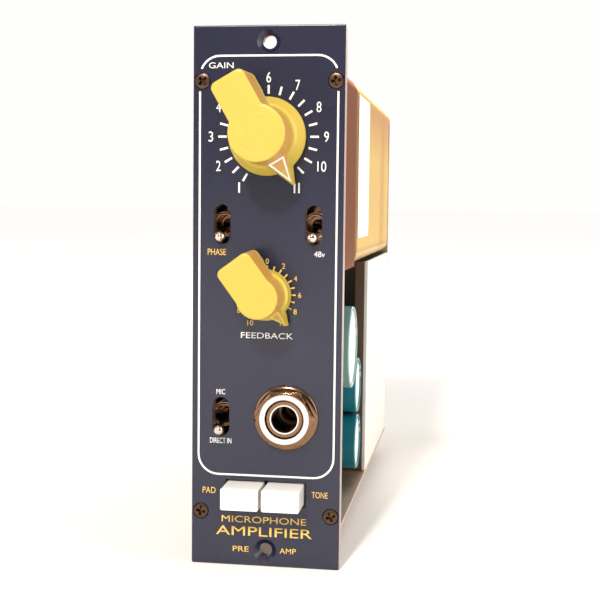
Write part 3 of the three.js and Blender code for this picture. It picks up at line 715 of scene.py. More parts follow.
class PREAMP_print_sizes(bpy.types.PropertyGroup):
    """The lines, ticks and figures printed on the panel."""

    ink: length("Ink", 0.03 * MM, "Height of the ink above the paint")
    line: length("Line", 0.47 * MM, "Width of the frame line")
    side: length("Frame Side", 17.0 * MM, "From the panel's middle to the frame line")
    high: length("Frame Top", 59.35 * MM, "From the panel's middle up to the frame line")
    low: length("Frame Bottom", 43.7 * MM, "From the panel's middle down to the frame line")
    corner: length("Frame Corner", 5.0 * MM, "Radius of the frame's corners")
    gain_ticks: length("Gain Ticks", 11.35 * MM, "Radius of the middle of the gain ticks")
    gain_tick: length("Gain Tick", 2.1 * MM, "Length of a gain tick")
    gain_figures: length("Gain Figures", 14.25 * MM, "Radius of the gain figures")
    gain_figure: length("Gain Figure", 2.5 * MM, "Height of a gain figure")
    ones_apart: length("Ones Apart", 1.1 * MM, "Between the two strokes of the figure eleven")
    ten_shift: length("Ten Shift", 0.85 * MM, "How far the wide figure ten stands to the right of its tick")
    feedback_ticks: length("Feedback Ticks", 6.6 * MM, "Radius of the middle of the feedback ticks")
    feedback_tick: length("Feedback Tick", 1.05 * MM, "Length of a feedback tick")
    feedback_figures: length("Feedback Figures", 8.15 * MM, "Radius of the feedback figures")
    feedback_figure: length("Feedback Figure", 1.3 * MM, "Height of a feedback figure")


class PREAMP_knob_sizes(bpy.types.PropertyGroup):
    """The two pointer knobs and their meshes."""

    gain_voxel: length("Gain Voxel", 0.2 * MM, "Grain of the gain knob's mesh")
    feedback_voxel: length("Feedback Voxel", 0.15 * MM, "Grain of the feedback knob's mesh")
    softening: IntProperty(name="Softening", description="Rounds of smoothing on the knobs' edges", default=5,
        min=0)
    mark: length("Mark", 0.5 * MM, "Width of the line round the pointer's mark")


class PREAMP_hardware_sizes(bpy.types.PropertyGroup):
    """Screws, nuts and levers."""

    spin_seed: IntProperty(name="Spin Seed", description="Fixes how far each screw was turned", default=7)
    pivot_depth: length("Pivot Depth", 7.6 * MM, "From the panel's face back to the toggles' pivots")
    lever: length("Lever", 11.6 * MM, "Length of a toggle lever from its pivot")
    lever_tilt: FloatProperty(
        name="Lever Tilt", description="Tilt of the toggle levers below level", default=math.radians(17),
        subtype="ANGLE"
    )


class PREAMP_colours(bpy.types.PropertyGroup):
    """The colours of the finishes."""

    panel: colour("Panel", (0.0095, 0.0105, 0.034), "Enamel of the front panel")
    panel_edge: colour("Panel Edge", (0.42, 0.3, 0.25), "Metal where the enamel is rubbed through")
    white_ink: colour("White Ink", (0.86, 0.84, 0.82), "Printed lines, ticks and figures")
    gold_ink: colour("Gold Ink", (0.78, 0.5, 0.1), "Printed words and the small dial")
    knob: colour("Knob", (0.57, 0.425, 0.066), "The pointer knobs")
    # colour of the painted shade laid on the knobs' side walls
    knob_side: colour("Knob Side", (0.55, 0.25, 0.065), "The sides of the pointer knobs")
    button: colour("Button", (0.9, 0.88, 0.84), "The push buttons")
    gilt: colour("Gilt", (0.95, 0.71, 0.29), "The can over the transformers")
    bronze: colour("Bronze", (0.3, 0.19, 0.13), "The cowl behind the panel")
    plate: colour("Plating", (0.62, 0.46, 0.36), "The chassis")
    board: colour("Board", (0.03, 0.075, 0.045), "The circuit boards")
    pale_sleeve: colour("Pale Sleeve", (0.26, 0.46, 0.44), "The large capacitor")
    teal_sleeve: colour("Teal Sleeve", (0.01, 0.21, 0.28), "The two small capacitors")


class PREAMP_stage_sizes(bpy.types.PropertyGroup):
    """The camera, the floor and the lights."""

    camera: FloatVectorProperty(
        name="Camera", description="Where the camera stands", default=(0.05181, -0.28506, 0.090075),
        subtype="TRANSLATION"
    )
    yaw: FloatProperty(name="Yaw", description="Camera turned left", default=math.radians(8.74),
        subtype="ANGLE")
    pitch: FloatProperty(name="Pitch", description="Camera tipped up", default=math.radians(-4.601),
        subtype="ANGLE")
    roll: FloatProperty(name="Roll", description="Camera rolled", default=math.radians(-0.643),
        subtype="ANGLE")
    lens: FloatProperty(name="Lens", description="Focal length on a 36 mm sensor", default=70.69,
        subtype="DISTANCE_CAMERA")
    floor: length("Floor", 40.0, "Width of the floor")
    key: FloatProperty(name="Key", description="Power of the key light", default=18.0, unit="POWER")
    fill: FloatProperty(name="Fill", description="Power of the side light", default=7.0, unit="POWER")


GROUPS = {
    "preamp_panel": PREAMP_panel_sizes,
    "preamp_print": PREAMP_print_sizes,
    "preamp_knobs": PREAMP_knob_sizes,
    "preamp_hardware": PREAMP_hardware_sizes,
    "preamp_colours": PREAMP_colours,
    "preamp_stage": PREAMP_stage_sizes,
}


# ---------------------------------------------------------------- geometry trees


def geometry_tree(name, inputs, build):
    """A geometry tree with named inputs, whose build function gives the instances that it ends with."""
    tree = bpy.data.node_groups.new(name, "GeometryNodeTree")
    tree.interface.new_socket("Geometry", in_out="OUTPUT", socket_type="NodeSocketGeometry")
    for label, kind, value in [*inputs, ("Finish", "Material", None)]:
        socket = tree.interface.new_socket(label, in_out="INPUT", socket_type=f"NodeSocket{kind}")
        if value is not None:
            socket.default_value = value
    graph = Graph(tree)
    source = graph.node("NodeGroupInput")
    wires = {output.name: Wire(graph, output) for output in source.socket.node.outputs if output.name}
    real = graph.node("GeometryNodeRealizeInstances", None, {0: build(graph, wires)})
    painted = graph.node("GeometryNodeSetMaterial", None, {"Geometry": real, "Material": wires["Finish"]})
    graph.node("NodeGroupOutput", None, {0: painted})
    return tree


def grown(name, tree, settings, points=None):
    """The plain mesh object that a geometry tree makes."""
    made = new_object(name, points or bpy.data.meshes.new(name))
    modifier = made.modifiers.new(name, "NODES")
    modifier.node_group = tree
    for item in tree.interface.items_tree:
        if item.in_out == "INPUT" and item.name in settings:
            modifier[item.identifier] = settings[item.name]
    return applied(made)


def dial_ticks_tree():
    """Bars spread round a dial, the middle one at the top."""

    def build(graph, wires):
        points = graph.node("GeometryNodePoints", None, {"Count": wires["Count"]})
        index = graph.node("GeometryNodeInputIndex")
        angle = (index - (wires["Count"] - 1.0) * 0.5) * wires["Step"]
        spot = graph.node(
            "ShaderNodeCombineXYZ", None,
            {0: angle.math("SINE") * wires["Radius"], 1: angle.math("COSINE") * wires["Radius"]},
        )
        placed = graph.node("GeometryNodeSetPosition", None, {"Geometry": points, "Position": spot})
        size = graph.node("ShaderNodeCombineXYZ", None,
            {0: wires["Width"], 1: wires["Length"], 2: wires["Height"]})
        bar = graph.node("GeometryNodeMeshCube", None, {"Size": size})
        turn = graph.node("ShaderNodeCombineXYZ", None, {2: angle * -1.0})
        return graph.node("GeometryNodeInstanceOnPoints", None,
            {"Points": placed, "Instance": bar, "Rotation": turn})

    inputs = [("Count", "Int", 21), ("Step", "Float", math.radians(15)), ("Radius", "Float", 0.01)]
    inputs += [("Width", "Float", 0.0005), ("Length", "Float", 0.002), ("Height", "Float", 0.00006)]
    return geometry_tree("dial ticks", inputs, build)


def contact_row_tree():
    """A straight row of flat contacts."""

    def build(graph, wires):
        start = graph.node("ShaderNodeCombineXYZ", None, {2: (wires["Count"] - 1.0) * wires["Pitch"] * -0.5})
        step = graph.node("ShaderNodeCombineXYZ", None, {2: wires["Pitch"]})
        line = graph.node(
            "GeometryNodeMeshLine", None, {"Count": wires["Count"], "Start Location": start, "Offset": step}
        )
        size = graph.node("ShaderNodeCombineXYZ", None,
            {0: wires["Thickness"], 1: wires["Length"], 2: wires["Width"]})
        bar = graph.node("GeometryNodeMeshCube", None, {"Size": size})
        return graph.node("GeometryNodeInstanceOnPoints", None, {"Points": line, "Instance": bar})

    inputs = [("Count", "Int", 15), ("Pitch", "Float", 3.96 * MM), ("Width", "Float", 2.4 * MM)]
    inputs += [("Length", "Float", 7 * MM), ("Thickness", "Float", 0.06 * MM)]
    return geometry_tree("contact row", inputs, build)


def copies_tree():
    """Copies of a template on points that carry a turn, each spun a little about its own axis."""

    def build(graph, wires):
        turn = graph.node("GeometryNodeInputNamedAttribute", {"data_type": "FLOAT_VECTOR"}, {"Name": "turn"})
        base = graph.node("FunctionNodeEulerToRotation", None, {0: turn})
        spin = graph.node(
            "FunctionNodeRandomValue", {"data_type": "FLOAT"},
            {2: 0.0, 3: wires["Spin"], "Seed": wires["Seed"]}, out=1
        )
        about = graph.node("FunctionNodeAxisAngleToRotation", None, {"Axis": (0, 0, 1), "Angle": spin})
        turned_by = graph.node("FunctionNodeRotateRotation", {"rotation_space": "LOCAL"}, {0: base, 1: about})
        template = graph.node("GeometryNodeObjectInfo", None, {"Object": wires["Template"]}, out="Geometry")
        inputs = {"Points": wires["Points"], "Instance": template, "Rotation": turned_by,
            "Scale": wires["Size"]}
        return graph.node("GeometryNodeInstanceOnPoints", None, inputs)

    inputs = [("Points", "Geometry", None), ("Template", "Object", None), ("Size", "Float", 1.0)]
    inputs += [("Spin", "Float", 0.0), ("Seed", "Int", 0)]
    return geometry_tree("copies on points", inputs, build)


TREES = {}


def tree(make):
    """A geometry tree, made once."""
    if make not in TREES:
        TREES[make] = make()
    return TREES[make]


def copies(name, template, places, material, spin=0.0, seed=0):
    """One mesh of a template's copies at their places."""
    points = bpy.data.meshes.new(name)
    points.from_pydata([place.to_translation() for place in places], [], [])
    turns = points.attributes.new("turn", "FLOAT_VECTOR", "POINT")
    for value, place in zip(turns.data, places):
        value.vector = place.to_euler()
    pattern = new_object("template", template)
    settings = {"Template": pattern, "Spin": spin, "Seed": seed, "Finish": material}
    made = grown(name, tree(copies_tree), settings, points)
    bpy.data.objects.remove(pattern)
    return made


# ---------------------------------------------------------------- shared hardware


def cross_recess(width, reach, low, high):
    """A tapered cross that is cut out of a screw head."""
    meshes = []
    for a, b in ((reach, width / 2), (width / 2, reach)):
        layers = [
            ([(-a * s, -b * s), (a * s, -b * s), (a * s, b * s), (-a * s, b * s)],
                z) for s, z in ((0.55, low), (1.0, high))
        ]
        meshes.append(lofted(layers))
    return meshes


def screw_template(profile, width, reach, low, high):
    """A cross-head screw drawn about local z."""
    made = new_object("screw", turned(profile, 40))
    for cutter in cross_recess(width, reach, low, high):
        cut_away(made, cutter)
    mesh = made.data
    bpy.data.objects.remove(made)
    return mesh


def countersunk_screw(head, shank, length_):
    """A flat head with a slightly domed top, its shank ribbed as a thread is."""
    profile = [(0, -length_), (shank * 0.7, -length_), (shank, -length_ + 0.3 * MM)]
    pitch = 0.45 * MM
    z = -length_ + 0.6 * MM
    while z < -1.5 * MM:
        profile += [(shank, z), (shank * 0.86, z + pitch / 2)]
        z += pitch
    profile += [(shank, -1.0 * MM), (head, -0.16 * MM), (head - 0.05 * MM, -0.06 * MM),
        (head * 0.9, -0.01 * MM)]
    profile += [(head * 0.5, 0.06 * MM), (0, 0.08 * MM)]
    return screw_template(profile, 0.74 * MM, head * 0.7, -0.9 * MM, 0.2 * MM)


def pan_screw(length_):
    """A pan head, its underside at local zero."""
    head, shank, rise = 2.2 * MM, 1.2 * MM, 1.3 * MM
    profile = [(0, -length_), (shank, -length_ + 0.1 * MM), (shank, 0), (head, 0)]
    for step in range(7):
        a = math.pi / 2 * step / 6
        profile.append((head * (0.55 + 0.45 * math.cos(a)), rise * (0.35 + 0.65 * math.sin(a))))
    profile.append((0, rise))
    return screw_template(profile, 0.6 * MM, head * 0.6, 0.45 * MM, rise + 0.1 * MM)


def hex_ring(flats, limit, z, sides=72):
    """Points round a hexagon whose corners are turned down to a limit."""
    ring = []
    for step in range(sides):
        a = 2 * math.pi * step / sides
        to_flat = (a % (math.pi / 3)) - math.pi / 6
        radius = min(flats / 2 / math.cos(to_flat), limit)
        ring.append((radius * math.cos(a), radius * math.sin(a), z))
    return ring


def hex_nut(flats, bore, low, high, place, name):
    """A nut with turned-down corners on both faces."""
    corner = flats / math.sqrt(3)
    drop = (corner - flats / 2 * 0.97) * 0.55
    rings = []
    for step in range(5):
        t = step / 4
        rings.append(hex_ring(flats, flats / 2 * 0.97 + (corner - flats / 2 * 0.97) * t,
            low + drop * 0.5 * t))
    for step in range(7):
        t = 1 - step / 6
        rings.append(hex_ring(flats, flats / 2 * 0.97 + (corner - flats / 2 * 0.97) * t, high - drop * t))
    last = rings[-1][0][2]
    for r, z in ((bore + 0.25 * MM, last), (bore, last - 0.25 * MM), (bore, low + 0.2 * MM),
            (bore + 0.2 * MM, low)):
        rings.append(hex_ring(99, r, z))
    return mesh_from(name, *skin(rings, loop=True), place)


def threaded_tube(radius, bore, low, high, pitch, bevel=0.3 * MM):
    """The closed profile of a tube with a thread on its outside."""
    profile = [(bore, low), (radius - bevel, low), (radius, low + bevel)]
    z = low + bevel
    while z + pitch < high - bevel:
        profile += [(radius, z + pitch * 0.35), (radius - pitch * 0.35, z + pitch * 0.7)]
        z += pitch
    profile += [(radius, high - bevel), (radius - bevel, high), (bore + bevel, high), (bore, high - bevel)]
    return profile


# ---------------------------------------------------------------- operators


class PREAMP_OT_finishes(bpy.types.Operator):
    """Make the finishes of every piece"""

    bl_idname = "preamp.finishes"
    bl_label = "Finishes"

    def execute(self, context):
        c = context.scene.preamp_colours
        make_finishes(c)
        return {"FINISHED"}


def make_finishes(c):
    """Fills the table of finishes from the chosen colours."""
    rack_hole = (HALF_HEIGHT - 3.98 * MM, 3.2 * MM)
    enamel = painted_metal(c.panel, [v * 0.75 for v in c.panel], c.panel_edge, 0.12 * MM, rack_hole)
    finish("panel_enamel", enamel, {"Coat Weight": 0.3, "Coat Roughness": 0.22})
    finish("white_ink", ink(c.white_ink))
    finish("gold_ink", ink(c.gold_ink))
    deep = [c.knob[0] * 0.92, c.knob[1] * 0.85, c.knob[2] * 0.7]
    subsurface = {"Subsurface Weight": 0.12, "Subsurface Radius": (1.0, 0.5, 0.15), "Subsurface Scale": 0.002}
    for name, node, tall in (
        ("gain_knob_plastic", "gain_shaft", 16 * MM), ("feedback_knob_plastic", "feedback_shaft", 14 * MM)
    ):
        low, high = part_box(node)
        axis = ((low.x + high.x) / 2, (low.z + high.z) / 2)
        # the knobs' side walls get a band of painted shade between these two heights
        sides = (c.knob_side, 0.4 * tall, tall - 0.45 * MM)
        finish(name, moulded_plastic(c.knob, deep, shine=0.34, axis=axis, sides=sides), subsurface)
    finish("button_plastic", moulded_plastic(c.button, [v * 0.94 for v in c.button], shine=0.26),
        {"Coat Weight": 0.2})
    finish("black_plastic", moulded_plastic((0.018, 0.018, 0.02), (0.03, 0.03, 0.032), shine=0.42))
    finish("chrome", metal((0.82, 0.75, 0.68), (0.66, 0.52, 0.42), 0.07))
    finish("bright_chrome", metal((0.95, 0.93, 0.9), (0.88, 0.84, 0.78), 0.3, wear=0.6))
    finish("warm_chrome", metal((0.3, 0.18, 0.11), (0.19, 0.1, 0.055), 0.12, patch=9 * MM))
    finish("screw_bronze", metal((0.07, 0.045, 0.03), (0.16, 0.09, 0.055), 0.3, patch=0.8 * MM,
        grain=0.12 * MM))
    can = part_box("shield_can")
    # after the gilt come the painted reflection colours: orange band, orange top, and a tan front that is
    # also darkened as painted shade beneath
    finish("gilt_steel", gilded(c.gilt, (0.7, 0.33, 0.05), (0.62, 0.23, 0.07), (0.36, 0.2, 0.13), *can),
           {"Specular Tint": (0.92, 0.72, 0.38, 1.0)})
    bronze = metal(c.bronze, (0.4, 0.2, 0.13), 0.24, patch=14 * MM, brush=(1.0, 0.1, 1.0))
    finish("bronze_steel", bronze, {"Specular Tint": (0.45, 0.24, 0.18, 1.0)})
    finish("plated_steel", metal(c.plate, (0.5, 0.35, 0.26), 0.3, patch=10 * MM, brush=(1.0, 0.08, 1.0),
        wear=0.6))
    finish("brass", metal((0.7, 0.48, 0.2), (0.6, 0.36, 0.14), 0.24, patch=3 * MM))
    finish("throat", metal((0.62, 0.4, 0.28), (0.48, 0.28, 0.18), 0.3, patch=2 * MM, wear=0.8))
    finish("contact_gold", metal((0.85, 0.58, 0.2), (0.75, 0.48, 0.14), 0.18, patch=2 * MM))
    finish("solder", metal((0.62, 0.62, 0.6), (0.5, 0.5, 0.5), 0.25, patch=1.5 * MM))
    finish("capacitor_end", metal((0.93, 0.92, 0.9), (0.86, 0.84, 0.8), 0.4, patch=4 * MM, wear=0.9))
    finish("board_laminate", laminate(c.board, [c.board[0] * 2.2, c.board[1] * 1.9, c.board[2] * 1.6]))
    finish("film_box", moulded_plastic((0.42, 0.07, 0.03), (0.3, 0.045, 0.02), shine=0.36))
    finish("lamination", striped((0.26, 0.24, 0.22), (0.07, 0.06, 0.055), 0.5 * MM, 0.2, 0, 0.4, 0.8))
    finish("winding_tape", striped((0.62, 0.42, 0.1), (0.5, 0.32, 0.06), 4.5 * MM, 0.08, 2, 0.36))
    finish("label_paper", paper((0.92, 0.91, 0.88)))
    for name, node, tone in (
        ("upper_sleeve", "capacitor_upper", c.pale_sleeve),
        ("middle_sleeve", "capacitor_middle", c.teal_sleeve),
        ("lower_sleeve", "capacitor_lower", c.teal_sleeve),
    ):
        low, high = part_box(node)
        band = [0.25 + v * 0.6 for v in tone]
        finish(name, sleeve(tone, band, (low.y + high.y) / 2, (low.z + high.z) / 2))
    bands = striped((0.5, 0.33, 0.17), (0.12, 0.03, 0.02), 1.25 * MM, 0.3, 1, 0.3, relief=0.0)
    finish("resistor_body", bands)
    finish("pale_mark", ink([min(1.0, v * 1.05 + 0.04) for v in c.knob]))
    # the second colour is painted shade on the cover's front fold
    finish("cover_steel", folded_cover((0.9, 0.87, 0.82), (0.14, 0.08, 0.055), *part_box("side_cover")))
    finish("floor", floor_paint, {"Emission Strength": 0.5})


class PREAMP_OT_panel(bpy.types.Operator):
    """Cut the front panel with its softened openings"""

    bl_idname = "preamp.panel"
    bl_label = "Front Panel"

    def execute(self, context):
        s = context.scene.preamp_panel
        back = -PANEL_THICKNESS
        wall = soft_rim(s.hole_edge, 0, back, 1)
        holes = []
        rack_y = HALF_HEIGHT - s.rack_inset
        sunk = [(s.rack_rim - s.rack_hole + 0.1 * MM, 0), (s.rack_rim - s.rack_hole, -0.08 * MM)]
        sunk += [(0.05 * MM, -s.rack_sink), (0, -s.rack_sink - 0.05 * MM), (0, back + 0.1 * MM),
            (0.1 * MM, back)]
        for y in (rack_y, -rack_y):
            holes.append((circle(s.rack_hole, 48, 0, y), sunk))
        for node, tube_node in (("gain_washer", "gain_nut"), ("feedback_washer", "feedback_nut")):
            x, y = node_centre(node)
            low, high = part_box(tube_node)
            holes.append((circle((high.z - low.z) / 2 * 0.8, 40, x, y), [(0, 0), (0, back)]))
        x, y = node_centre("jack_bushing")
        low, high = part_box("jack_bushing")
        holes.append((circle((high.x - low.x) / 2 + 0.15 * MM, 48, x, y), wall))
        for node in ("phase_switch_body", "phantom_switch_body", "input_switch_body"):
            holes.append((slot(*node_centre(node), s.slot_width / 2, s.slot_height / 2), wall))
        low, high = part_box("pad_button")[0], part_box("tone_button")[1]
        low_y, high_y = low.z - MIDDLE - s.button_gap, high.z - MIDDLE + s.button_gap
        holes.append((rectangle(low.x - s.button_gap, high.x + s.button_gap, low_y, high_y, 0.3 * MM), wall))
        for index in range(1, 5):
            low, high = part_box(f"panel_screw_{index}")
            head = (high.x - low.x) / 2
            bore = 1.1 * MM
            sink = [(head + 0.25 * MM - bore, 0), (0, -1.15 * MM), (0, back)]
            holes.append((circle(bore, 40, *node_centre(f"panel_screw_{index}")), sink))
        outer = rectangle(-HALF_WIDTH, HALF_WIDTH, -HALF_HEIGHT, HALF_HEIGHT, 0.45 * MM, 4)
        mesh = plate((outer, soft_rim(s.edge, 0, back, -1)), holes, panel_place(), "panel_plate")
        finished(("panel_plate", mesh), FINISHES["panel_enamel"], "root", "front_panel")
        return {"FINISHED"}


class PREAMP_OT_print(bpy.types.Operator):
    """Print the frame line, the dials and the words on the panel"""

    bl_idname = "preamp.print"
    bl_label = "Panel Print"

    def execute(self, context):
        s = context.scene.preamp_print
        low, high = -0.01 * MM, s.ink
        white = frame_line(s, low, high)
        gain_x, gain_y = node_centre("gain_shaft")
        small_x, small_y = node_centre("feedback_shaft")
        for index in range(11):
            a = math.radians(30 * index - 150)
            text = str(index + 1)
            wide = s.gain_figure * {"1": 0.17, "10": 0.86, "11": 0.17}.get(text, 0.46)
            x, y = gain_x + s.gain_figures * math.sin(a), gain_y + s.gain_figures * math.cos(a)
            x += s.ten_shift if text == "10" else 0
            for shift in (-s.ones_apart / 2, s.ones_apart / 2) if text == "11" else (0,):
                box = (x + shift - wide / 2, x + shift + wide / 2, y - s.gain_figure / 2,
                    y + s.gain_figure / 2)
                white.append(lettering("1" if text == "11" else text, *box, low, high))
        gold = []
        for index, value in enumerate((10, 8, 6, 4, 2, 0, 2, 4, 6, 8, 10)):
            a = math.radians(30 * index - 150)
            wide = s.feedback_figure * (0.6 if value < 10 else 1.15)
            x, y = small_x + s.feedback_figures * math.sin(a), small_y + s.feedback_figures * math.cos(a)
            box = (x - wide / 2, x + wide / 2, y - s.feedback_figure / 2, y + s.feedback_figure / 2)
            gold.append(lettering(str(value), *box, low, high))
        for group, text, *box in WORDS:
            x0, x1, y0, y1 = (v * MM for v in box)
            (white if group == "white" else gold).append(lettering(text, x0, x1, y0, y1, low, high))
        ticks = {
            "white": (21, s.gain_ticks, s.gain_tick, 0.52 * MM, gain_x, gain_y),
            "gold": (21, s.feedback_ticks, s.feedback_tick, 0.38 * MM, small_x, small_y),
        }
        for name, meshes in (("white", white), ("gold", gold)):
            count, radius, long, wide, x, y = ticks[name]
            settings = {"Count": count, "Step": math.radians(15), "Radius": radius, "Width": wide,
                "Length": long}
            settings |= {"Height": 2 * high, "Finish": FINISHES[f"{name}_ink"]}
            dial = grown(f"{name}_ticks", tree(dial_ticks_tree), settings)
            dial.data.transform(Matrix.Translation((x, y, 0)))
            meshes.append(dial.data)
            bpy.data.objects.remove(dial)
            mesh = joined(f"{name}_print", meshes, panel_place())
            finished((f"{name}_print", mesh), FINISHES[f"{name}_ink"], "root")
        return {"FINISHED"}


WORDS = (
    ("white", "GAIN", -14.8, -8.7, 56.35, 57.75),
    ("gold", "PHASE", -14.9, -10.3, 10.95, 12.5),
    ("white", "48v", 11.6, 14.2, 10.85, 12.25),
    ("white", "FEEDBACK", -6.4, 6.6, -9.4, -7.95),
    ("white", "MIC", -12.5, -10.3, -23.6, -22.3),
    ("white", "DIRECT IN", -14.1, -8.65, -35.9, -34.55),
    ("gold", "PAD", -15.9, -12.6, -48.65, -47.1),
    ("gold", "TONE", 11.7, 15.7, -48.7, -47.15),
    ("gold", "MICROPHONE", -11.0, 10.4, -55.75, -54.1),
    ("gold", "AMPLIFIER", -12.4, 11.9, -59.05, -56.75),
    ("gold", "PRE", -8.1, -4.05, -63.15, -61.8),
    ("gold", "AMP", 3.8, 7.9, -63.15, -61.8),
)


def frame_line(s, low, high):
    """The rounded frame, broken where it passes the upper panel screws."""
    screw = node_centre("panel_screw_1")[1]
    gap_top, gap_low = screw + 2.55 * MM, screw - 2.5 * MM

    def corner(x, y, start):
        for step in range(9):
            a = math.radians(start + 90 * step / 8)
            yield x + s.corner * math.cos(a), y + s.corner * math.sin(a)

    inner = s.side - s.corner
    upper = [p for p in corner(inner, s.high - s.corner, 0) if p[1] > gap_top]
    upper += [p for p in corner(-inner, s.high - s.corner, 90) if p[1] > gap_top]
    lower = [(-s.side, gap_low), *corner(-inner, -s.low + s.corner, 180)]
    lower += [*corner(inner, -s.low + s.corner, 270), (s.side, gap_low)]
    return [ribbon(path, s.line, low, high) for path in (upper, lower)]


class PREAMP_OT_knobs(bpy.types.Operator):
    """Mould the two pointer knobs with their marks, shafts and set screws"""

    bl_idname = "preamp.knobs"
    bl_label = "Knobs"

    def execute(self, context):
        s = context.scene.preamp_knobs
        sizes = {
            "gain": dict(angle=150, skirt=9.5, boss=6.8, tail=4.7, end=15.3, tip=13.5, height=16, flank=5.4,
                recess=7.5, bore=3.35),
            "feedback": dict(angle=143.5, skirt=6.3, boss=5, tail=4.95, end=10.9, tip=9.2, height=14,
                flank=4.8, recess=5.15, bore=3.2),
        }
        for name, size in sizes.items():
            place = over_node(f"{name}_shaft", turn=math.radians(size.pop("angle")))
            k = {key: value * MM for key, value in size.items()}
            made = knob_body(f"{name}_knob_fine", k, s.gain_voxel if name == "gain" else s.feedback_voxel,
                s.softening)
            made.data.transform(place)
            body = f"{name}_control"
            finished(made, FINISHES[f"{name}_knob_plastic"], body, f"{name}_knob", sharp=70)
            mark = knob_mark(k, s.mark, 0.27 if name == "gain" else 0.22)
            mark.transform(place)
            finished((f"{name}_mark", mark), FINISHES["white_ink" if name == "gain" else "pale_mark"], body)
            shaft_low = -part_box(f"{name}_shaft")[1].y + FRONT
            shaft_high = -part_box(f"{name}_shaft")[0].y + FRONT
            radius = (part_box(f"{name}_shaft")[1].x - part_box(f"{name}_shaft")[0].x) / 2
            profile = [(0, shaft_low), (radius, shaft_low), (radius, shaft_high - 0.5 * MM)]
            profile += [(radius - 0.5 * MM, shaft_high), (0, shaft_high)]
            shaft = turned(profile, 40, place=place, name=f"{name}_shaft_fine")
            finished((f"{name}_shaft_fine", shaft), FINISHES["brass"], body, f"{name}_shaft")
        for name in ("gain", "feedback"):
            made = eased_copy(f"{name}_set_screw", 0.06 * MM)
            finished(made, FINISHES["screw_bronze"], f"{name}_control", f"{name}_set_screw")
        return {"FINISHED"}


def knob_body(name, k, voxel, softening):
    """A hollow skirt and boss, a tall tail and a wedge nose, moulded as one; the pointer is on local +y."""
    lift, top = 1.0 * MM, k["height"]
    soft = 0.55 * MM
    wall = [(0, top - 2.5 * MM), (k["bore"], top - 2.5 * MM), (k["bore"], 3.9 * MM), (k["recess"], 3.9 * MM)]
    wall += [(k["recess"], lift), (k["skirt"] - 0.3 * MM, lift), (k["skirt"], lift + 0.3 * MM)]
    wall += [(k["skirt"], lift + 0.9 * MM), (k["skirt"] - 0.12 * MM, lift + 1.25 * MM)]
    wall += [(k["boss"] + 1.0 * MM, k["flank"] - 0.35 * MM), (k["boss"] + 0.45 * MM, k["flank"] + 0.1 * MM)]
    wall += [(k["boss"] + 0.2 * MM, k["flank"] + 1.0 * MM), (k["boss"], top - soft)]
    wall += [(k["boss"] - soft * (1 - math.cos(a)), top - soft * (1 - math.sin(a))) for a in (0.5, 1.0,
        math.pi / 2)]
    wall += [(0, top)]
    made = new_object(name, turned(wall, 96, name=name))
    screw_y = (k["flank"] + 1.6 * MM)
    hole = turned([(0, k["bore"] * 0.5), (1.6 * MM, k["bore"] * 0.5), (1.6 * MM, k["skirt"] * 2),
        (0, k["skirt"] * 2)], 32)
    hole.transform(Matrix.Translation((0, 0, screw_y)) @ Matrix.Rotation(math.pi / 2, 4, "Y"))
    cut_away(made, hole)
    tail = new_object("tail", knob_tail(k, 4.15 * MM, top, 0))
    cut_away(tail, turned([(0, 0), (k["bore"], 0), (k["bore"], top - 2.5 * MM), (0, top - 2.5 * MM)], 64))
    pieces = [made.data.copy(), tail.data, knob_nose(k)]
    bpy.data.objects.remove(tail)
    pieces.append(knob_tail(k, 3.0 * MM, 6.0 * MM, k["recess"] + 0.7 * MM))
    mesh = joined(name, pieces)
    made.data = mesh
    remesh = made.modifiers.new("moulded", "REMESH")
    remesh.mode = "VOXEL"
    remesh.voxel_size = voxel
    smooth = made.modifiers.new("softened", "SMOOTH")
    smooth.factor = 0.5
    smooth.iterations = softening
    return applied(made)


def knob_tail(k, low, high, start):
    """The tail's block, drawn in a little towards its top, with a soft top edge and corners."""
    corner = 1.5 * MM
    layers = []
    soft = 0.5 * MM
    steps = [(low, 0.0), (high - soft, 0.0)]
    steps += [(high - soft * (1 - math.sin(a)), soft * (1 - math.cos(a))) for a in (0.4, 0.8, 1.2,
        math.pi / 2)]
    for z, inset in steps:
        draft = 0.35 * MM * z / k["height"] + inset
        half, end = k["tail"] - draft, k["end"] - draft
        outline = []
        for cx, cy, begin in ((half - corner, -end + corner, -90), (half - corner, -start - corner, 0)):
            for step in range(6):
                a = math.radians(begin + 90 * step / 5)
                outline.append((cx + corner * math.cos(a), cy + corner * math.sin(a)))
        outline += [(-x, y) for x, y in reversed(outline)]
        layers.append((outline, z))
    return lofted(layers)


def nose_line(k):
    """The nose's height at the boss and at its tip, and where each lies from the axis."""
    return k["boss"], 0.58 * k["height"], k["tip"], 2.6 * MM


def knob_nose(k):
    """A wedge that slopes from the boss to a narrow tip, its sides drawn in towards the top."""
    near, near_z, far, far_z = nose_line(k)
    low = 1.0 * MM
    start = k["recess"] + 0.15 * MM
    root_height, sink = 4.1 * MM, 1.2 * MM
    slope = (near_z - far_z) / (far - near)
    root_z = near_z + slope * sink
    points = []
    for y, half, z in ((start - 0.6 * MM, 0.44 * k["boss"], root_height),
            (start + 0.1 * MM, 0.4 * k["boss"], low)):
        points += [(-half, y, z), (half, y, z)]
    points += [(-0.3 * MM, far, low), (0.3 * MM, far, low)]
    points += [(-0.16 * MM, far - 0.1 * MM, far_z), (0.16 * MM, far - 0.1 * MM, far_z)]
    inner = near - sink
    points += [(-0.36 * k["boss"], inner, root_z), (0.36 * k["boss"], inner, root_z)]
    points += [(-0.46 * k["boss"], inner, root_height), (0.46 * k["boss"], inner, root_height)]
    shape = bmesh.new()
    for point in points:
        shape.verts.new(point)
    bmesh.ops.convex_hull(shape, input=shape.verts)
    bmesh.ops.recalc_face_normals(shape, faces=shape.faces)
    mesh = bpy.data.meshes.new("nose")
    shape.to_mesh(mesh)
    shape.free()
    return mesh


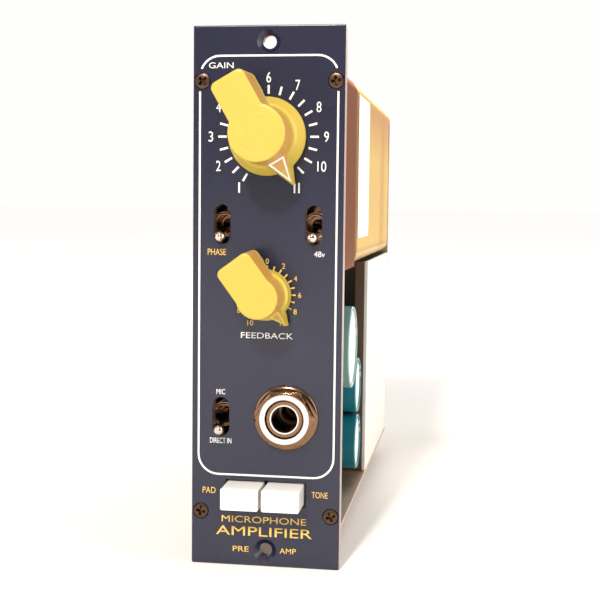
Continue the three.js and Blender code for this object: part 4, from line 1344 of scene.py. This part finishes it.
def knob_mark(k, width, share):
    """A closed triangle of paint on the nose's slope."""
    near, near_z, far, far_z = nose_line(k)
    run = math.hypot(far - near, near_z - far_z)
    tilt = math.atan2(near_z - far_z, far - near)
    base, apex = 0.55 * MM, run * 0.8
    half = share * k["boss"]
    path = [(-half, base), (half, base), (0, apex)]
    mesh = ribbon(path, width, -0.12 * MM, 0.05 * MM, loop=True)
    mesh.transform(Matrix.Translation((0, near, near_z)) @ Matrix.Rotation(-tilt, 4, "X"))
    return mesh


class PREAMP_OT_screws(bpy.types.Operator):
    """Turn the cross-head screws and set them in their holes"""

    bl_idname = "preamp.screws"
    bl_label = "Screws"

    def execute(self, context):
        s = context.scene.preamp_hardware
        low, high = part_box("panel_screw_1")
        names = [f"panel_screw_{i}" for i in range(1, 5)]
        template = countersunk_screw((high.x - low.x) / 2, 0.95 * MM, high.y - low.y)
        places = [over_node(n) for n in names]
        made = copies("panel_screws", template, places, FINISHES["screw_bronze"], math.pi, s.spin_seed)
        finished(made, FINISHES["screw_bronze"], "root", names)
        sets = (
            ("cover", 2, lambda low, high: Matrix.Translation(((low.x + high.x) / 2, (low.y + high.y) / 2,
                low.z + 1.3 * MM))
             @ Matrix.Rotation(math.pi, 4, "X"), 2),
            ("can", 2, lambda low, high: Matrix.Translation(((low.x + high.x) / 2, high.y - 1.3 * MM,
                (low.z + high.z) / 2))
             @ Matrix.Rotation(-math.pi / 2, 4, "X"), 1),
            ("board", 4, lambda low, high: Matrix.Translation((high.x - 1.3 * MM, (low.y + high.y) / 2,
                (low.z + high.z) / 2))
             @ Matrix.Rotation(math.pi / 2, 4, "Y"), 0),
        )
        for group, count, place, axis in sets:
            names = [f"{group}_screw_{i}" for i in range(1, count + 1)]
            boxes = [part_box(n) for n in names]
            whole = boxes[0][1][axis] - boxes[0][0][axis]
            template = pan_screw(whole - 1.3 * MM)
            places = [place(*box) for box in boxes]
            made = copies(f"{group}_screws", template, places, FINISHES["screw_bronze"], math.pi,
                s.spin_seed + count)
            finished(made, FINISHES["screw_bronze"], "root", names)
        return {"FINISHED"}


class PREAMP_OT_nuts(bpy.types.Operator):
    """Turn the nuts, washers and bodies of the two rotary controls"""

    bl_idname = "preamp.nuts"
    bl_label = "Pot Hardware"

    def execute(self, context):
        for name, bushing, flats, can in (("gain", 4.7, 12, 10), ("feedback", 3.6, 8.5, 8)):
            place = over_node(f"{name}_shaft")
            low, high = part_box(f"{name}_nut")
            nut = hex_nut(flats * MM, (bushing + 0.15) * MM, FRONT - high.y, FRONT - low.y, place,
                f"{name}_nut_fine")
            finished((f"{name}_nut_fine", nut), FINISHES["chrome"], "root", f"{name}_nut")
            low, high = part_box(f"{name}_washer")
            outer, bore = (high.x - low.x) / 2, (bushing + 0.15) * MM
            bottom, top = FRONT - high.y, FRONT - low.y
            edge = 0.12 * MM
            profile = [(bore, bottom), (outer - edge, bottom), (outer, bottom + edge), (outer, top - edge)]
            profile += [(outer - edge, top), (bore, top)]
            washer = turned(profile, 64, loop=True, place=place)
            finished((f"{name}_washer_fine", washer), FINISHES["chrome"], "root", f"{name}_washer")
            self.pot(name, bushing * MM, can * MM, place)
        return {"FINISHED"}

    def pot(self, name, bushing, can, place):
        """A drawn can with a crimped front plate, a threaded bushing and three solder lugs."""
        low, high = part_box(f"{name}_pot_body")
        rear = FRONT - high.y
        front = -PANEL_THICKNESS - 0.1 * MM
        rise = FRONT - low.y
        bore = (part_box(f"{name}_shaft")[1].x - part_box(f"{name}_shaft")[0].x) / 2 + 0.08 * MM
        profile = [(0, rear), (can - 1.2 * MM, rear), (can - 0.5 * MM, rear + 0.2 * MM),
            (can - 0.3 * MM, rear + 0.8 * MM)]
        profile += [(can - 0.3 * MM, front - 2.4 * MM), (can, front - 2.3 * MM), (can, front - 0.2 * MM)]
        profile += [(can - 0.2 * MM, front), (bushing, front)]
        z, pitch = front + 0.5 * MM, 0.75 * MM
        profile.append((bushing, z))
        while z + pitch < rise - 0.4 * MM:
            profile += [(bushing, z + pitch * 0.3), (bushing - 0.28 * MM, z + pitch * 0.65)]
            z += pitch
        profile += [(bushing, rise - 0.35 * MM), (bushing - 0.3 * MM, rise), (bore, rise),
            (bore, rear + 1.0 * MM)]
        profile.append((0, rear + 1.0 * MM))
        body = turned(profile, 64, place=place)
        lugs = []
        for offset in (-5 * MM, 0, 5 * MM):
            x0, x1 = offset - 0.9 * MM, offset + 0.9 * MM
            bottom = low.z - MIDDLE - node_centre(f"{name}_shaft")[1]
            rim = soft_rim(0.15 * MM, rear + 2.7 * MM, rear + 2.2 * MM, -1, 2)
            outline = rectangle(x0, x1, bottom + 0.05 * MM, -can * 0.5, 0.8 * MM, 4)
            lugs.append(plate((outline, rim), [], place))
        finished((f"{name}_pot_fine", body), FINISHES["plated_steel"], "root", f"{name}_pot_body")
        finished((f"{name}_pot_lugs", joined(f"{name}_pot_lugs", lugs)), FINISHES["solder"], "root")


class PREAMP_OT_toggles(bpy.types.Operator):
    """Turn the toggle levers, their bushings and their cases"""

    bl_idname = "preamp.toggles"
    bl_label = "Toggle Switches"

    def execute(self, context):
        s = context.scene.preamp_hardware
        for name in ("phase", "phantom", "input"):
            x, y = node_centre(f"{name}_switch_body")
            lever = turned(self.lever_profile(s.lever), 40)
            place = panel_place(x, y, -s.pivot_depth) @ Matrix.Rotation(s.lever_tilt, 4, "X")
            lever.transform(place)
            finished((f"{name}_bat", lever), FINISHES["chrome"], f"{name}_toggle", f"{name}_lever",
                sharp=50)
            case = eased_copy(f"{name}_switch_body", 0.25 * MM)
            finished(case, FINISHES["warm_chrome"], "root", f"{name}_switch_body")
            front, rear = -PANEL_THICKNESS - 0.3 * MM, -PANEL_THICKNESS - 6.1 * MM
            tube = threaded_tube(3.05 * MM, 2.85 * MM, rear, front, 0.6 * MM, 0.08 * MM)
            thread = turned(tube, 56, loop=True, place=panel_place(x, y))
            finished((f"{name}_thread", thread), FINISHES["chrome"], "root")
        return {"FINISHED"}

    @staticmethod
    def lever_profile(long):
        """A pivot ball, a slim neck and a bat that swells to a round tip."""
        ball, tip, neck = 1.3 * MM, 1.3 * MM, 0.7 * MM
        profile = [(0, -ball)]
        for step in range(1, 9):
            a = math.radians(-90 + 145 * step / 8)
            profile.append((ball * math.cos(a), ball * math.sin(a)))
        profile += [(neck, ball + 0.9 * MM), (neck, ball + 1.6 * MM), (neck * 1.15, long - 4.4 * MM)]
        profile.append((neck * 1.3, long - 2.7 * MM))
        for step in range(12):
            a = math.radians(-42 + 132 * step / 11)
            profile.append((tip * math.cos(a), long - tip + tip * math.sin(a)))
        profile[-1] = (0, long)
        return profile


class PREAMP_OT_jack(bpy.types.Operator):
    """Turn the jack socket's bushing, dress washer, nut and contacts"""

    bl_idname = "preamp.jack"
    bl_label = "Jack Socket"

    def execute(self, context):
        place = over_node("jack_bushing")
        low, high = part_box("jack_bushing")
        radius = (high.x - low.x) / 2
        rear, front = FRONT - high.y, FRONT - low.y
        bore = 3.255 * MM
        tube = threaded_tube(radius, bore, rear, front, 0.8 * MM, 0.35 * MM)
        bushing = turned(tube, 96, loop=True, place=place)
        finished(("jack_bushing_fine", bushing), FINISHES["warm_chrome"], "root", "jack_bushing")
        inner, outer = 3.3 * MM, 3.95 * MM
        profile = [(inner, front - 0.3 * MM), (outer, front - 0.3 * MM), (outer, front - 0.06 * MM)]
        profile += [(outer - 0.1 * MM, front - 0.01 * MM), (inner, front - 0.01 * MM)]
        ferrule = turned(profile, 96, loop=True, place=place)
        finished(("jack_ferrule", ferrule), FINISHES["bright_chrome"], "root")
        low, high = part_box("jack_washer")
        outer, bottom, top = (high.x - low.x) / 2, FRONT - high.y, FRONT - low.y
        profile = [(radius + 0.2 * MM, bottom), (outer - 0.1 * MM, bottom), (outer, bottom + 0.12 * MM)]
        for step in range(9):
            a = math.pi / 2 * step / 8
            profile.append((outer - 1.5 * MM * (1 - math.cos(a)),
                bottom + 0.2 * MM + (top - bottom - 0.2 * MM) * math.sin(a)))
        profile += [(radius + 0.4 * MM, top), (radius + 0.2 * MM, top - 0.15 * MM)]
        washer = turned(profile, 96, loop=True, place=place)
        finished(("jack_washer_fine", washer), FINISHES["warm_chrome"], "root", "jack_washer",
            sharp=50)
        low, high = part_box("jack_nut")
        bottom, top = FRONT - high.y, FRONT - low.y - 0.5 * MM
        bore = radius + 0.15 * MM
        nut = hex_nut(13.2 * MM, bore, bottom, top, place, "jack_nut_fine")
        finished(("jack_nut_fine", nut), FINISHES["warm_chrome"], "root", "jack_nut")
        collar, rise = 6.1 * MM, 0.48 * MM
        profile = [(bore, top - 0.4 * MM), (collar, top - 0.4 * MM), (collar, top + rise - 0.18 * MM)]
        profile += [(collar - 0.2 * MM, top + rise), (bore + 0.2 * MM, top + rise),
            (bore, top + rise - 0.2 * MM)]
        ring = turned(profile, 96, loop=True, place=place)
        finished(("jack_nut_collar", ring), FINISHES["bright_chrome"], "root")
        body = eased_copy("jack_body", 0.3 * MM)
        finished(body, FINISHES["black_plastic"], "root", "jack_body")
        rings = []
        for z0, z1, inner in ((-3.5, -5.2, 3.26), (-9, -10.5, 2.6), (-18, -19.5, 2.3)):
            ring = [(inner * MM, z1 * MM), (3.3 * MM, z1 * MM), (3.3 * MM, z0 * MM),
                (inner * MM + 0.2 * MM, z0 * MM)]
            rings.append(turned(ring, 48, loop=True, place=place))
        finished(("jack_contacts", joined("jack_contacts", rings)), FINISHES["throat"], "root")
        return {"FINISHED"}


class PREAMP_OT_buttons(bpy.types.Operator):
    """Mould the two push button caps and their switch cases"""

    bl_idname = "preamp.buttons"
    bl_label = "Push Buttons"

    def execute(self, context):
        for name in ("pad", "tone"):
            low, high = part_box(f"{name}_button")
            half_x, half_y = (high.x - low.x) / 2, (high.z - low.z) / 2
            front, rear = FRONT - low.y, -PANEL_THICKNESS + 1.2 * MM
            outline = rectangle(-half_x, half_x, -half_y, half_y, 0.45 * MM, 5)
            edge = 0.28 * MM
            layers = [(outline(-0.2 * MM), rear), (outline(0), rear + 0.2 * MM), (outline(0), front - edge)]
            for a in (0.35, 0.7, 1.05, math.pi / 2):
                layers.append((outline(-edge * (1 - math.cos(a))), front - edge * (1 - math.sin(a))))
            layers.append((outline(-0.9 * MM), front - 0.035 * MM))
            place = over_node(f"{name}_button")
            cap = lofted(layers, place)
            stem_end = FRONT - high.y
            stem = rectangle(-1.6 * MM, 1.6 * MM, -1.6 * MM, 1.6 * MM, 0.2 * MM, 3)
            plunger = lofted([(stem(0), stem_end), (stem(0), rear + 0.3 * MM)], place)
            body = f"{name}_push"
            finished((f"{name}_cap", cap), FINISHES["button_plastic"], body, f"{name}_button",
                sharp=50)
            finished((f"{name}_plunger", plunger), FINISHES["black_plastic"], body)
            case = eased_copy(f"{name}_switch_body", 0.2 * MM)
            finished(case, FINISHES["black_plastic"], "root", f"{name}_switch_body")
        return {"FINISHED"}


class PREAMP_OT_body(bpy.types.Operator):
    """Round the edges of the chassis, the cowl and the side cover, and draw the can with its label"""

    bl_idname = "preamp.body"
    bl_label = "Sheet Metal"

    def execute(self, context):
        for node, edge, material, slot_name in (
            ("chassis", 0.22 * MM, "plated_steel", "plated_steel"),
            ("side_cover", 0.3 * MM, "cover_steel", "plated_steel"),
            ("front_cowl", 0.2 * MM, "bronze_steel", "bronze_steel"),
        ):
            made = eased_copy(node, edge)
            finished(made, FINISHES[material], "root", node, sharp=28)
        self.can()
        low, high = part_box("can_label")
        outline = rectangle(low.y, high.y, low.z, high.z, 1.5 * MM, 6)
        thick = high.x - low.x
        rim = soft_rim(0.05 * MM, thick, 0, -1, 2)
        mesh = plate((outline, rim), [])
        for v in mesh.vertices:
            y, z, x = v.co
            v.co = (low.x + x, y, z)
        made = new_object("can_label_fine", joined("can_label_fine", [mesh]))
        finished(made, FINISHES["label_paper"], "root", "can_label")
        return {"FINISHED"}

    def can(self):
        """A drawn can, open on the left, with soft bends and its two screw holes."""
        low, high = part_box("shield_can")
        bend, wall = 3.6 * MM, 0.8 * MM
        mesh = drawn_can(low, high, bend, wall)
        made = new_object("shield_can_fine", mesh)
        for index in (1, 2):
            x, y = node_centre(f"can_screw_{index}")
            drill = turned([(0, -2 * MM), (1.35 * MM, -2 * MM), (1.35 * MM, 2 * MM), (0, 2 * MM)], 32)
            drill.transform(Matrix.Translation((x, high.y, MIDDLE + y)) @ Matrix.Rotation(math.pi / 2, 4,
                "X"))
            cut_away(made, drill)
        finished(made, FINISHES["gilt_steel"], "root", "shield_can", sharp=40)


def drawn_can(low, high, bend, wall):
    """A box with round edges that is open on its low x side, with a wall of even thickness."""
    open_x = low.x

    def walls(inset, radius):
        a = Vector((low.x, low.y + inset, low.z + inset))
        b = Vector((high.x - inset, high.y - inset, high.z - inset))
        rings = []
        steps = 8
        for step in range(steps + 2):
            angle = math.pi / 2 * (step - 1) / steps if step else None
            x = open_x if step == 0 else b.x - radius + radius * math.sin(angle)
            shrink = 0 if step == 0 else radius * (1 - math.cos(angle))
            outline = rectangle(a.y, b.y, a.z, b.z, radius, 8)
            rings.append([(x, y, z) for y, z in outline(-shrink)])
        return rings

    outer, inner = walls(0, bend), walls(wall, bend - wall)
    count = len(outer[0])
    points, faces = [], []
    for rings in (outer, inner):
        offset = len(points)
        ring_points, ring_faces = skin(rings)
        points += ring_points
        faces += [tuple(i + offset for i in face) for face in ring_faces[:-2]]
        last = offset + (len(rings) - 1) * count
        faces.append(tuple(range(last, last + count)))
    step = len(outer) * count
    faces += [(i, (i + 1) % count, step + (i + 1) % count, step + i) for i in range(count)]
    return mesh_from("shield_can_fine", points, faces)


class PREAMP_OT_electronics(bpy.types.Operator):
    """Fit out the boards with their capacitors, small parts and card edge"""

    bl_idname = "preamp.electronics"
    bl_label = "Electronics"

    def execute(self, context):
        for name in ("upper", "middle", "lower"):
            self.capacitor(name)
        for node in ("main_board", "control_board"):
            made = eased_copy(node, 0.08 * MM)
            finished(made, FINISHES["board_laminate"], "root", node)
        self.card_edge()
        self.small_parts()
        for name in ("input", "output"):
            core = eased_copy(f"{name}_core", 0.2 * MM)
            finished(core, FINISHES["lamination"], "root", f"{name}_core")
            coil = eased_copy(f"{name}_coil", 0.6 * MM)
            finished(coil, FINISHES["winding_tape"], "root", f"{name}_coil")
        film = eased_copy("film_capacitor", 0.7 * MM)
        finished(film, FINISHES["film_box"], "root", "film_capacitor")
        for index in (1, 2):
            place = beside_node(f"transistor_{index}")
            low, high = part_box(f"transistor_{index}")
            rim, tall, radius = (high.y - low.y) / 2, high.x - low.x, 4.2 * MM
            profile = [(0, 0), (rim, 0), (rim, 0.55 * MM), (rim - 0.15 * MM, 0.7 * MM),
                (radius + 0.1 * MM, 0.75 * MM)]
            profile += [(radius, 1.0 * MM), (radius, tall - 0.8 * MM), (radius - 0.25 * MM, tall - 0.2 * MM)]
            profile += [(radius - 0.8 * MM, tall), (0, tall)]
            mesh = turned(profile, 48, place=place)
            finished((f"transistor_{index}_fine", mesh), FINISHES["brass"], "root", f"transistor_{index}")
        for index in range(1, 5):
            low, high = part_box(f"board_spacer_{index}")
            long, radius, bore = high.x - low.x, (high.y - low.y) / 2, 1.35 * MM
            profile = [(bore, 0), (radius - 0.2 * MM, 0), (radius, 0.2 * MM), (radius, long - 0.2 * MM)]
            profile += [(radius - 0.2 * MM, long), (bore, long)]
            mesh = turned(profile, 40, loop=True, place=beside_node(f"board_spacer_{index}"))
            finished((f"board_spacer_{index}_fine", mesh), FINISHES["brass"], "root", f"board_spacer_{index}")
        return {"FINISHED"}

    def capacitor(self, name):
        """A sleeved can with a crimped groove, rolled shoulders and a vented aluminium end."""
        node = f"capacitor_{name}"
        low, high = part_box(node)
        place = beside_node(node)
        radius, long = (high.z - low.z) / 2, high.x - low.x
        profile = [(0, 0), (radius - 1.2 * MM, 0)]
        profile += [(radius - 0.6 * MM * (1 - math.sin(a)), 0.6 * MM * (1 - math.cos(a))) for a in (0.4, 0.8,
            1.2, 1.57)]
        for step in range(9):
            a = math.pi * step / 8
            profile.append((radius - 0.8 * MM * math.sin(a) ** 2, 3.0 * MM + 2.0 * MM * step / 8))
        shoulder = 0.45 * MM
        for step in range(8):
            a = math.pi * 0.62 * step / 7
            profile.append((radius - shoulder * (1 - math.cos(a)), long - shoulder * (1 - math.sin(a))))
        end = radius - shoulder * 1.9
        profile += [(end, long - 0.35 * MM), (end, long - 1.2 * MM), (0, long - 1.2 * MM)]
        mesh = turned(profile, 72, place=place)
        finished((f"{node}_fine", mesh), FINISHES[f"{name}_sleeve"], "root", node,
            sharp=50)
        lid_top = long - 0.45 * MM
        lid = new_object(f"{node}_lid", turned([
            (0, long - 1.25 * MM), (end + 0.05 * MM, long - 1.25 * MM),
            (end + 0.05 * MM, lid_top - 0.25 * MM),
            (end - 0.25 * MM, lid_top), (0, lid_top),
        ], 72))
        for step in range(3):
            groove = lofted([
                (rectangle(-0.16 * MM, 0.16 * MM, 0.4 * MM, end * 0.72, 0.1 * MM, 3)(0), lid_top - 0.22 * MM),
                (rectangle(-0.22 * MM, 0.22 * MM, 0.35 * MM, end * 0.74, 0.1 * MM, 3)(0), lid_top + 0.1 * MM),
            ])
            groove.transform(Matrix.Rotation(math.radians(120 * step + 35), 4, "Z"))
            cut_away(lid, groove)
        lid.data.transform(place)
        finished(lid, FINISHES["capacitor_end"], "root")

    def card_edge(self):
        """Gilt contacts on both faces of the board's tongue."""
        low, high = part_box("main_board")
        chassis_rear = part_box("chassis")[1].y
        middle_y = (chassis_rear + high.y) / 2 + 0.2 * MM
        middle_z = MIDDLE - 5.175 * MM
        settings = {"Count": 15, "Pitch": 3.96 * MM, "Width": 2.4 * MM,
            "Length": high.y - chassis_rear - 1.6 * MM}
        settings |= {"Thickness": 0.06 * MM, "Finish": FINISHES["contact_gold"]}
        meshes = []
        for x in (low.x, high.x):
            row = grown("contacts", tree(contact_row_tree), settings)
            row.data.transform(Matrix.Translation((x, middle_y, middle_z)))
            meshes.append(row.data)
            bpy.data.objects.remove(row)
        mesh = joined("card_edge_contacts", meshes)
        finished(("card_edge_contacts", mesh), FINISHES["contact_gold"], "root")

    def small_parts(self):
        """Resistors with their leads, and solder joints, in rows on the two boards."""
        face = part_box("main_board")[1].x
        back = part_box("control_board")[1].y
        body, leads = resistor_meshes()
        spots = [(y, z) for y in (80, 84, 88, 92) for z in (16, 23, 30, 37, 52, 59)]
        spots += [(y, z) for y in (132, 136, 140) for z in (30, 37, 44, 58)]
        places = [Matrix.Translation((face + 1.15 * MM, y * MM, z * MM)) for y, z in spots]
        for name, template, material in (("resistors", body, "resistor_body"),
                ("resistor_leads", leads, "solder")):
            made = copies(name, template, places, FINISHES[material])
            finished(made, FINISHES[material], "root")
        dome = turned([(0, 0), (0.95 * MM, 0), (0.6 * MM, 0.28 * MM), (0.34 * MM, 0.7 * MM),
            (0.3 * MM, 1.0 * MM),
                       (0, 1.05 * MM)], 16)
        joints = []
        for node, columns, rows in (
            ("gain_pot_body", (-5, 0, 5), (-14.5,)), ("phase_switch_body", (-1.8, 1.8), (-4.4, 0, 4.4)),
            ("phantom_switch_body", (-1.8, 1.8), (-4.4, 0, 4.4)), ("feedback_pot_body", (-5, 0, 5), (-11.5,)),
            ("input_switch_body", (-1.8, 1.8), (-4.4, 0, 4.4)), ("pad_switch_body", (-2.6, 2.6), (-1.6, 1.6)),
            ("tone_switch_body", (-2.6, 2.6), (-1.6, 1.6)),
        ):
            x, y = node_centre(node)
            for dx in columns:
                for dy in rows:
                    spot = Vector((x + dx * MM, back, MIDDLE + y + dy * MM))
                    if spot.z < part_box("control_board")[1].z - 2 * MM:
                        joints.append(Matrix.Translation(spot) @ Matrix.Rotation(-math.pi / 2, 4, "X"))
        made = copies("solder_joints", dome, joints, FINISHES["solder"], math.pi, 3)
        finished(made, FINISHES["solder"], "root", sharp=60)


def resistor_meshes():
    """A dumb-bell body along local z and its bent leads, which reach the board on local -x."""
    r, half, wire = 0.95 * MM, 1.9 * MM, 0.28 * MM
    profile = [(0, -half), (0.6 * MM, -half), (r, -half + 0.35 * MM), (r, -half + 1.0 * MM),
        (r * 0.86, -half + 1.3 * MM)]
    profile += [(radius, -z) for radius, z in reversed(profile)]
    body = turned(profile, 20)
    leads = []
    for way in (1, -1):
        path = [(0, way * half * 0.9), (0, way * (half + 0.8 * MM)), (-0.3 * MM, way * (half + 1.1 * MM)),
                (-1.1 * MM, way * (half + 1.1 * MM))]
        bend = Vector((0.7, 0.7 * way))
        rings = []
        for (x, z), along in zip(path, (Vector((1, 0)), bend, bend, Vector((0, way)))):
            ring = []
            for step in range(8):
                a = 2 * math.pi * step / 8
                ring.append((x + along.x * wire * math.cos(a), wire * math.sin(a),
                    z + along.y * wire * math.cos(a)))
            rings.append(ring)
        leads.append(mesh_from("lead", *skin(rings)))
    return body, joined("leads", leads)


class PREAMP_OT_stage(bpy.types.Operator):
    """Set up the camera, the pale floor and the soft studio lights"""

    bl_idname = "preamp.stage"
    bl_label = "Stage"

    def execute(self, context):
        s = context.scene.preamp_stage
        camera = bpy.data.objects.new("camera", bpy.data.cameras.new("camera"))
        context.scene.collection.objects.link(camera)
        turn = Matrix.Rotation(s.yaw, 4, "Z") @ Matrix.Rotation(s.pitch, 4, "X") @ Matrix.Rotation(s.roll, 4,
            "Y")
        camera.matrix_world = Matrix.Translation(s.camera) @ turn @ Matrix.Rotation(math.pi / 2, 4, "X")
        camera.data.lens = s.lens
        camera.data.sensor_width = 36
        camera.data.clip_start = 0.01
        context.scene.camera = camera
        half = s.floor / 2
        corners = [(-half, -half, 0), (half, -half, 0), (half, half, 0), (-half, half, 0)]
        floor = new_object("floor", mesh_from("floor", corners, [(0, 1, 2, 3)]))
        floor.data.materials.append(FINISHES["floor"])
        target = Vector((0, 0.03, MIDDLE))
        for name, place, size, power, tone in (
            ("key", (-0.12, -1.05, 0.9), 0.12, s.key, (1.0, 0.95, 0.88)),
            ("side", (1.1, -0.15, 0.5), 0.9, s.fill, (1.0, 0.93, 0.84)),
            ("left", (-1.0, -0.5, 0.45), 0.8, s.fill * 0.5, (0.95, 0.97, 1.0)),
            ("rear", (0.3, 1.2, 0.7), 0.8, s.fill, (1.0, 0.96, 0.9)),
        ):
            lamp = bpy.data.objects.new(name, bpy.data.lights.new(name, "AREA"))
            lamp.data.shape = "DISK"
            lamp.data.size = size
            lamp.data.energy = power
            lamp.data.color = tone
            context.scene.collection.objects.link(lamp)
            aim = (target - Vector(place)).to_track_quat("-Z", "Y")
            lamp.matrix_world = Matrix.Translation(place) @ aim.to_matrix().to_4x4()
        self.surroundings(context)
        return {"FINISHED"}

    def surroundings(self, context):
        """A pale room that lights evenly; what shines shows it pale behind the module and dim in front."""
        world = bpy.data.worlds.new("room")
        world.use_nodes = True
        context.scene.world = world
        context.scene.view_settings.view_transform = "Standard"
        graph = Graph(world.node_tree)
        seen = graph.node("ShaderNodeLightPath", out="Is Camera Ray")
        mirrored = graph.node("ShaderNodeLightPath", out="Is Glossy Ray")
        where = graph.node("ShaderNodeTexCoord", out="Generated")
        _, back, up = graph.parts(where)
        front = graph.node(
            "ShaderNodeValToRGB",
            {"stops": [(0.0, (0.5, 0.44, 0.38)), (0.5, (0.3, 0.23, 0.19)), (0.57, (0.09, 0.065, 0.055)),
                       (0.78, (0.22, 0.17, 0.14)), (0.92, (0.95, 0.92, 0.88)), (1.0, (1.0, 1.0, 1.0))]},
            {0: up * 0.5 + 0.5},
        )
        behind = ((back - 0.1) * 2.0).math("MAXIMUM", 0.0).math("MINIMUM", 1.0)
        shown = graph.mix(behind, front, (1.0, 0.98, 0.94))
        shade = graph.mix(mirrored, (0.5, 0.49, 0.48), shown)
        shade = graph.mix(seen, shade, (1.0, 0.995, 0.985))
        light = graph.node("ShaderNodeBackground", None, {"Color": shade, "Strength": 1.0})
        graph.node("ShaderNodeOutputWorld", None, {"Surface": light})


PIECES = (
    PREAMP_OT_finishes,
    PREAMP_OT_stage,
    PREAMP_OT_panel,
    PREAMP_OT_print,
    PREAMP_OT_knobs,
    PREAMP_OT_screws,
    PREAMP_OT_nuts,
    PREAMP_OT_toggles,
    PREAMP_OT_jack,
    PREAMP_OT_buttons,
    PREAMP_OT_body,
    PREAMP_OT_electronics,
)


class PREAMP_PT_sidebar(bpy.types.Panel):
    """Sizes, colours and steps of the preamp module"""

    bl_idname = "PREAMP_PT_sidebar"
    bl_label = "Preamp Module"
    bl_space_type = "VIEW_3D"
    bl_region_type = "UI"
    bl_category = "Preamp"

    def draw(self, context):
        for attribute, group in GROUPS.items():
            box = self.layout.box()
            box.label(text=group.__doc__)
            for key in group.__annotations__:
                box.prop(getattr(context.scene, attribute), key)
        for operator in PIECES:
            self.layout.operator(operator.bl_idname)


def register():
    for group in GROUPS.values():
        bpy.utils.register_class(group)
    for attribute, group in GROUPS.items():
        setattr(bpy.types.Scene, attribute, PointerProperty(type=group))
    for operator in PIECES:
        bpy.utils.register_class(operator)
    bpy.utils.register_class(PREAMP_PT_sidebar)


def unregister():
    bpy.utils.unregister_class(PREAMP_PT_sidebar)
    for operator in reversed(PIECES):
        bpy.utils.unregister_class(operator)
    for attribute in GROUPS:
        delattr(bpy.types.Scene, attribute)
    for group in reversed(GROUPS.values()):
        bpy.utils.unregister_class(group)


def main():
    """Registers the add-on and makes every piece in order."""
    register()
    for operator in PIECES:
        group, name = operator.bl_idname.split(".")
        getattr(getattr(bpy.ops, group), name)()


if __name__ == "__main__":
    main()
